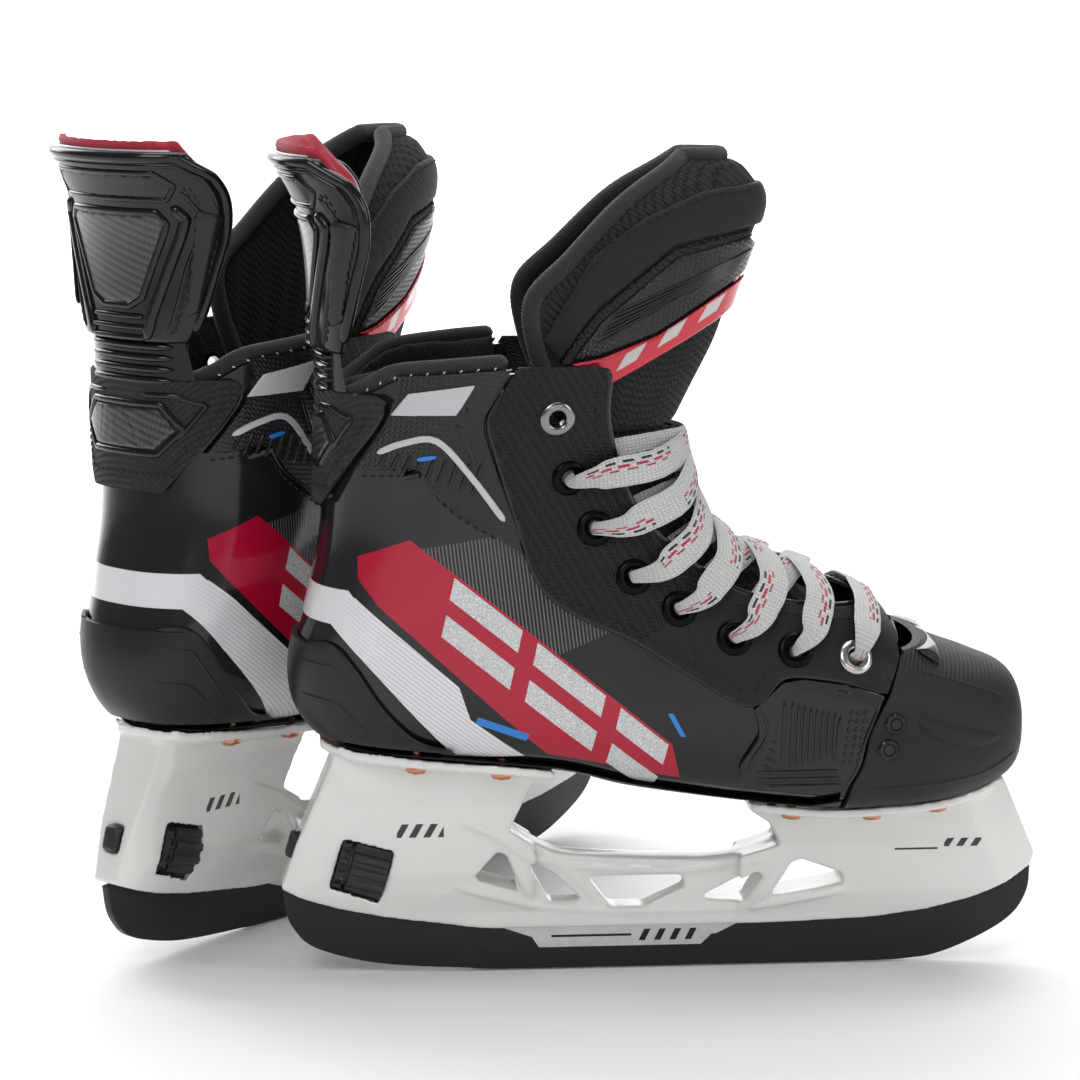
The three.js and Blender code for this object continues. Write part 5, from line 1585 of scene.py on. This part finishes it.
# ------------------------------------------------------------------ holder
HOLDER_FOOT = [(-121, 29), (-111, 25), (-102, 22), (-89, 19), (-76, 17), (-62, 15), (-52, 14.2), (34, 14.2),
               (71, 15.5), (88, 18), (102, 22), (115, 28), (121.5, 32)]
BRIDGE_TOP = [(-47, 47), (-33, 39.5), (-13, 37.5), (9, 36.5), (17, 36.5), (28, 38), (39, 42)]
REAR_SIDE = [*HOLDER_FOOT[:7], (-40, 14.2), (-40, 43), (-48, 48), (-43, 59), (-40, 66), (-36, 80), (-104, 84),
             (-104, 73), (-111, 56), (-116, 44)]
FRONT_SIDE = [(26, 14.2), *HOLDER_FOOT[7:], (123, 36), (113, 59), (108, 70), (28, 66), (29, 54), (35, 50),
              (39, 42), (26, 38)]
REAR_WIDTHS = [(3.7, 14), (4.6, 20), (7.6, 27), (9.2, 34), (9.4, 46), (10, 57), (11.4, 63), (12.4, 90)]
FRONT_WIDTHS = [(3.7, 13), (5, 18), (8, 25), (9.6, 34), (11, 42), (13.4, 48), (15, 90)]
HOLES = [[(-60, 32), (-52, 41), (-49, 40), (-44, 27)],
         [(-43, 38), (-35, 23), (-24, 23), (-33, 32)],
         [(-23, 31), (-15, 21), (-4, 21), (9, 27), (8, 31)],
         [(13, 23), (28, 22), (34, 31), (32, 33)],
         [(36, 24), (60, 28), (59, 32), (46, 37), (43, 36)]]
LOCK_TILT = math.radians(16)
LOCK_SPOT, LOCK_AXIS = Vector((-95, 0, 36.5)), Vector((math.cos(LOCK_TILT), 0, -math.sin(LOCK_TILT)))
WHEEL_RADIUS, WHEEL_LENGTH = 11.0, 16.0
on_lock = lambda distance: LOCK_SPOT + LOCK_AXIS * distance


def tower(side_outline, widths, plan, low, high):
    piece = prism(side_outline)
    within(piece, drawn_through(mirrored(widths), low, high, "front"))
    whole_plan = [*plan, *[(x, -y) for x, y in reversed(plan)]]
    return within(piece, drawn_through(whole_plan, 0, 100, "plan"))


def on_lock_block(start, end, half_wide, half_tall):
    deselect_all()
    bpy.ops.mesh.primitive_cube_add(size=1, location=on_lock((start + end) / 2) * MM,
                                    scale=((end - start) * MM, 2 * half_wide * MM, 2 * half_tall * MM),
                                    rotation=(0, LOCK_TILT, 0))
    bpy.ops.object.transform_apply(location=True, rotation=True, scale=True)
    return bpy.context.object


holder = tower(REAR_SIDE, REAR_WIDTHS, [(-122, 4.4), (-114, 8), (-104, 10), (-96, 13), (-30, 13)], -130, -30)
holder.name = "holder"
join(holder, tower(FRONT_SIDE, FRONT_WIDTHS, [(20, 16), (96, 16), (110, 9), (124, 4)], 20, 130))
join(holder, prism([(-62, 15), (-52, 14.2), (34, 14.2), (60, 15), *reversed(BRIDGE_TOP)], -4.6, 4.6))
for outline in HOLES:
    cut(holder, prism(outline))
rail_line = smooth_line([(-52, 50), *BRIDGE_TOP, (45, 45)], 6)
rail = [(Vector((x, 0, z - 0.8)), Vector((0, 0, 1))) for x, z in resampled(rail_line, 1.5)]
join(holder, sweep("rail", rail, round_profile(5.4, 1.5, 16)))
for side in (LATERAL, MEDIAL):
    for line, y, wide in (([(-64, 52), (-52, 46.5), (-42, 39.5), (-30, 35.5), (-13, 34), (9, 33), (24, 35),
                            (36, 39)], 5.0, 1.5),
                          ([(-48.5, 41), (-45, 34), (-41, 25)], 4.8, 1.2),
                          ([(-38, 38), (-30, 33.8), (-23.5, 28), (-17.5, 20.8)], 4.8, 1.1),
                          ([(30, 20), (36, 29), (40, 36)], 4.8, 1.1),
                          ([(-66, 30), (-46, 24), (-36, 21.6), (-14, 19.6), (18, 19.6), (34, 21), (60, 26)],
                           4.7, 1.2)):
        path = []
        for x, z in resampled(smooth_line(line, 5), 1.5):
            widths = REAR_WIDTHS if x < -40 else FRONT_WIDTHS if x > 30 else [(4.4, 0), (4.4, 90)]
            face = np.interp(z, [w[1] for w in widths], [w[0] for w in widths])
            path.append((Vector((x, side * max(min(face, 10), y - 0.4), z)), Vector((0, side, 0))))
        join(holder, sweep("rail", path, round_profile(wide, 1.1, 12), taper=6))
plates = sheet("plates", 2.6, 5.2)
rear_plan = [(-108, 6), (-101, 15), (-90, 19), (-36, 20), (-34, 19)]
front_plan = [(28, 22), (31, 24), (70, 25), (94, 22), (106, 13), (111, 6)]
areas = drawn_through([*rear_plan, *[(x, -y) for x, y in reversed(rear_plan)]], 60, 84, "plan")
join(areas, drawn_through([*front_plan, *[(x, -y) for x, y in reversed(front_plan)]], 45, 74, "plan"))
within(plates, areas)
cut(holder, form_solid(2.7))
join(holder, plates)
cut(holder, prism([(-130, 0), (-130, 25), *[(x, z + 3.5) for x, z in HOLDER_FOOT[1:-1]], (130, 28), (130, 0)],
                  -1.75, 1.75))
cut(holder, rod(on_lock(-WHEEL_LENGTH / 2 - 0.5), on_lock(WHEEL_LENGTH / 2 + 0.5), WHEEL_RADIUS + 1, 40))
cut(holder, rod(on_lock(-18), on_lock(22), 5.2, 24))
cut(holder, on_lock_block(-27, -20, 3.4, 4.6))
cut(holder, prism([(-66, 18), (-66, 41), (-88, 41), (-88, 18)], -2.2, 2.2))
softened(holder, 0.7, 7)
on_both_skates(holder, HOLDER, replaces=["holder"])

plug = on_lock_block(-24.6, -20.3, 3.1, 4.3)
plug.name = "holder_plug"
rounded(plug, 1.6, 4, 30)
on_both_skates(smoothed(plug), RUBBER)

# ------------------------------------------------------------------ rivets
RIVETS = {"rear": [(-78, 15.5), (-51, 15.5)], "front": [(41, 19), (67, 19), (89, 15)]}
HEAD = [(0, 1.5), (0.9, 1.42), (1.2, 1.1), (1.6, 1.1), (2.3, 1.15), (2.9, 0.75), (3.2, 0.2), (3.2, -0.4),
        (0, -0.4)]
for end, spots in RIVETS.items():
    head = turned("head", HEAD, 24)
    heads = []
    for x, y in spots:
        for side in (LATERAL, MEDIAL):
            point, normal = meet(5.2, (x, y * side, 20), (0, 0, 1))
            heads.append(set_down(copy_of(head), point, normal))
            heads.append(rod(point, point + Vector((0, 0, 9.5)), 1.5, 12))
    bpy.data.objects.remove(head)
    on_both_skates(smoothed(joined_up(heads, f"{end}_rivets"), 40), COPPER, replaces=[f"{end}_rivets"])

# ------------------------------------------------------------------ runner
RUNNER_EDGE = [(122, 31), (121.5, 24), (119, 18), (115, 13.5), (109, 9.5), (102, 6), (94, 2.8), (85, 0.9),
               (62, 0.02),
               (-44, 0.02), (-62, 0.7), (-80, 1.8), (-93, 3.4), (-105, 6.5), (-112, 9.5), (-116, 13.5),
               (-119, 19), (-120.5, 27.5)]
low_edge = smooth_line(RUNNER_EDGE, 6)
low_edge[:, 1] = np.maximum(low_edge[:, 1], 0.0)
runner = prism([*low_edge, *[(x, z + 3.2) for x, z in HOLDER_FOOT[1:-1]]], -1.5, 1.5, "runner")
join(runner, prism([(-83.4, 20), (-78.2, 38), (-64, 38), (-61, 20)], -1.5, 1.5))
join(runner, prism([(84, 20), (87, 40), (99, 40), (102, 20)], -1.5, 1.5))
rounded(runner, 0.3, 2, 60)
on_both_skates(smoothed(runner, 30), RUNNER, body="{}_blade_body", replaces=["runner"])
frames = []
for side in (LATERAL, MEDIAL):
    outline = [(-52, 15), (-40, 10.4), (-38, 7), (14.6, 7), (16.6, 9), (28, 14.6)]
    path = [(Vector((x, 1.5 * side, z)), Vector((0, side, 0))) for x, z in resampled(outline, 1.2)]
    frames.append(sweep("frame", path, [(-0.35, -0.1), (-0.3, 0.12), (0.3, 0.12), (0.35, -0.1)], taper=2))
on_both_skates(smoothed(joined_up(frames, "runner_badge_frame")), RUNNER, body="{}_blade_body")

# ------------------------------------------------------------------ blade lock
wheel_outline = []
for rib in range(14):
    for share, depth in ((0.0, 0.25), (0.08, 0), (0.42, 0), (0.5, 0.25), (0.6, 0.95), (0.9, 0.95)):
        turn, radius = 2 * math.pi * (rib + share) / 14, WHEEL_RADIUS - depth
        wheel_outline.append((radius * math.cos(turn), radius * math.sin(turn)))
wheel = prism(wheel_outline, -WHEEL_LENGTH / 2, WHEEL_LENGTH / 2, "lock_wheel")
wheel.data.transform(Matrix.Rotation(math.radians(90), 4, "Z"))
cut(wheel, rod((-30, 0, 0), (30, 0, 0), 2.7, 24))
groove = turned("groove", [(9.4, -0.5), (9.9, -0.7), (12, -0.7), (12, 0.7), (9.9, 0.7), (9.4, 0.5)], 48,
                closed=True)
groove.data.transform(Matrix.Translation((-4.4 * MM, 0, 0)) @ Matrix.Rotation(math.radians(90), 4, "Y"))
cut(wheel, groove)
for rib in range(14):
    turn = 2 * math.pi * (rib + 0.22) / 14
    spoke = Vector((0, math.sin(turn), math.cos(turn)))
    cut(wheel, rod(spoke * 9.9 + Vector((-6.5, 0, 0)), spoke * 13 + Vector((-6.5, 0, 0)), 1.15, 12))
rounded(wheel, 0.2, 2, 50)
wheel.data.transform(Matrix.Translation(LOCK_SPOT * MM) @ Matrix.Rotation(LOCK_TILT, 4, "Y"))
on_both_skates(smoothed(wheel, 35), RUBBER, body="{}_lock_wheel_body", replaces=["lock_wheel"])

thread = []
for k in range(33):
    thread += [(2.4, -17.5 + k), (2.0, -17.0 + k)]
screw = turned("lock_screw", [(0, -17.5), *thread, (2.0, 15.9), (0, 15.9)], 20)
screw_turn = Matrix.Rotation(math.radians(90) + LOCK_TILT, 4, "Y")
screw.data.transform(Matrix.Translation(LOCK_SPOT * MM) @ screw_turn)
on_both_skates(smoothed(screw, 30), STEEL, body="{}_lock_wheel_body", replaces=["lock_screw"])

clamp = on_lock_block(10.8, 18.8, 3.5, 4.0)
clamp.name = "lock_clamp"
cut(clamp, rod(on_lock(0), on_lock(40), 2.7, 20))
rounded(clamp, 0.5, 3, 40)
on_both_skates(smoothed(clamp), STEEL, body="{}_lock_clamp_body", replaces=["lock_clamp"])

# ------------------------------------------------------------------ floor and light
for piece in list(bpy.data.objects):
    if piece.name.startswith(("form_", "sheet_", "cutter")):
        bpy.data.objects.remove(piece)

deselect_all()
bpy.ops.mesh.primitive_plane_add(size=12, location=(0, 0, -0.0006))
floor = bpy.context.object
floor.name = "floor"
ground = bpy.data.materials.new("pale floor")
ground.use_nodes = True
wiring = Wiring(ground.node_tree)
paper = wiring.put("ShaderNodeTexCoord").outputs["Object"]
tone = wiring.blend(wiring.noise(paper, 3.0), rgb(0.93, 0.93, 0.93), rgb(0.96, 0.96, 0.96))
ground_shader = ground.node_tree.nodes["Principled BSDF"]
ground.node_tree.links.new(tone, ground_shader.inputs["Base Color"])
ground_shader.inputs["Roughness"].default_value = 0.7
ground_shader.inputs["Specular IOR Level"].default_value = 0.2
floor.data.materials.append(ground)

deselect_all()
bpy.ops.mesh.primitive_plane_add(size=12, location=(0, 3.2, 2.5), rotation=(math.radians(90), 0, 0))
wall = bpy.context.object
wall.name = "backdrop"
wall.data.materials.append(ground)

SOFTBOXES = [("key", (-0.75, -1.25, 1.35), 0.8, 0.8, 10), ("fill", (1.45, -0.75, 0.7), 0.5, 1.0, 6),
             ("top", (0.0, 0.15, 1.7), 1.2, 0.9, 12), ("back", (-1.0, 1.0, 0.8), 0.6, 0.9, 8),
             ("strip", (0.35, -1.55, 0.5), 1.2, 0.14, 3), ("wall", (0.0, 1.6, 2.2), 3.0, 0.5, 120)]
MIDDLE = (-0.03, 0.03, 0.12)  # of the pair, where every light but the wall's is aimed
AIMS = {"wall": (0.0, 3.2, 0.6)}
for name, spot, width, height, power in SOFTBOXES:
    data = bpy.data.lights.new(name, "AREA")
    data.shape, data.size, data.size_y, data.energy = "RECTANGLE", width, height, power
    light = bpy.data.objects.new(name, data)
    light.location = spot
    heading = Vector(AIMS.get(name, MIDDLE)) - Vector(spot)
    light.rotation_euler = heading.to_track_quat("-Z", "Y").to_euler()
    bpy.context.scene.collection.objects.link(light)
world = bpy.data.worlds.new("studio")
world.use_nodes = True
world.node_tree.nodes["Background"].inputs["Color"].default_value = (1, 1, 1, 1)
world.node_tree.nodes["Background"].inputs["Strength"].default_value = 0.2
bpy.context.scene.world = world
bpy.context.scene.view_settings.view_transform = "Standard"
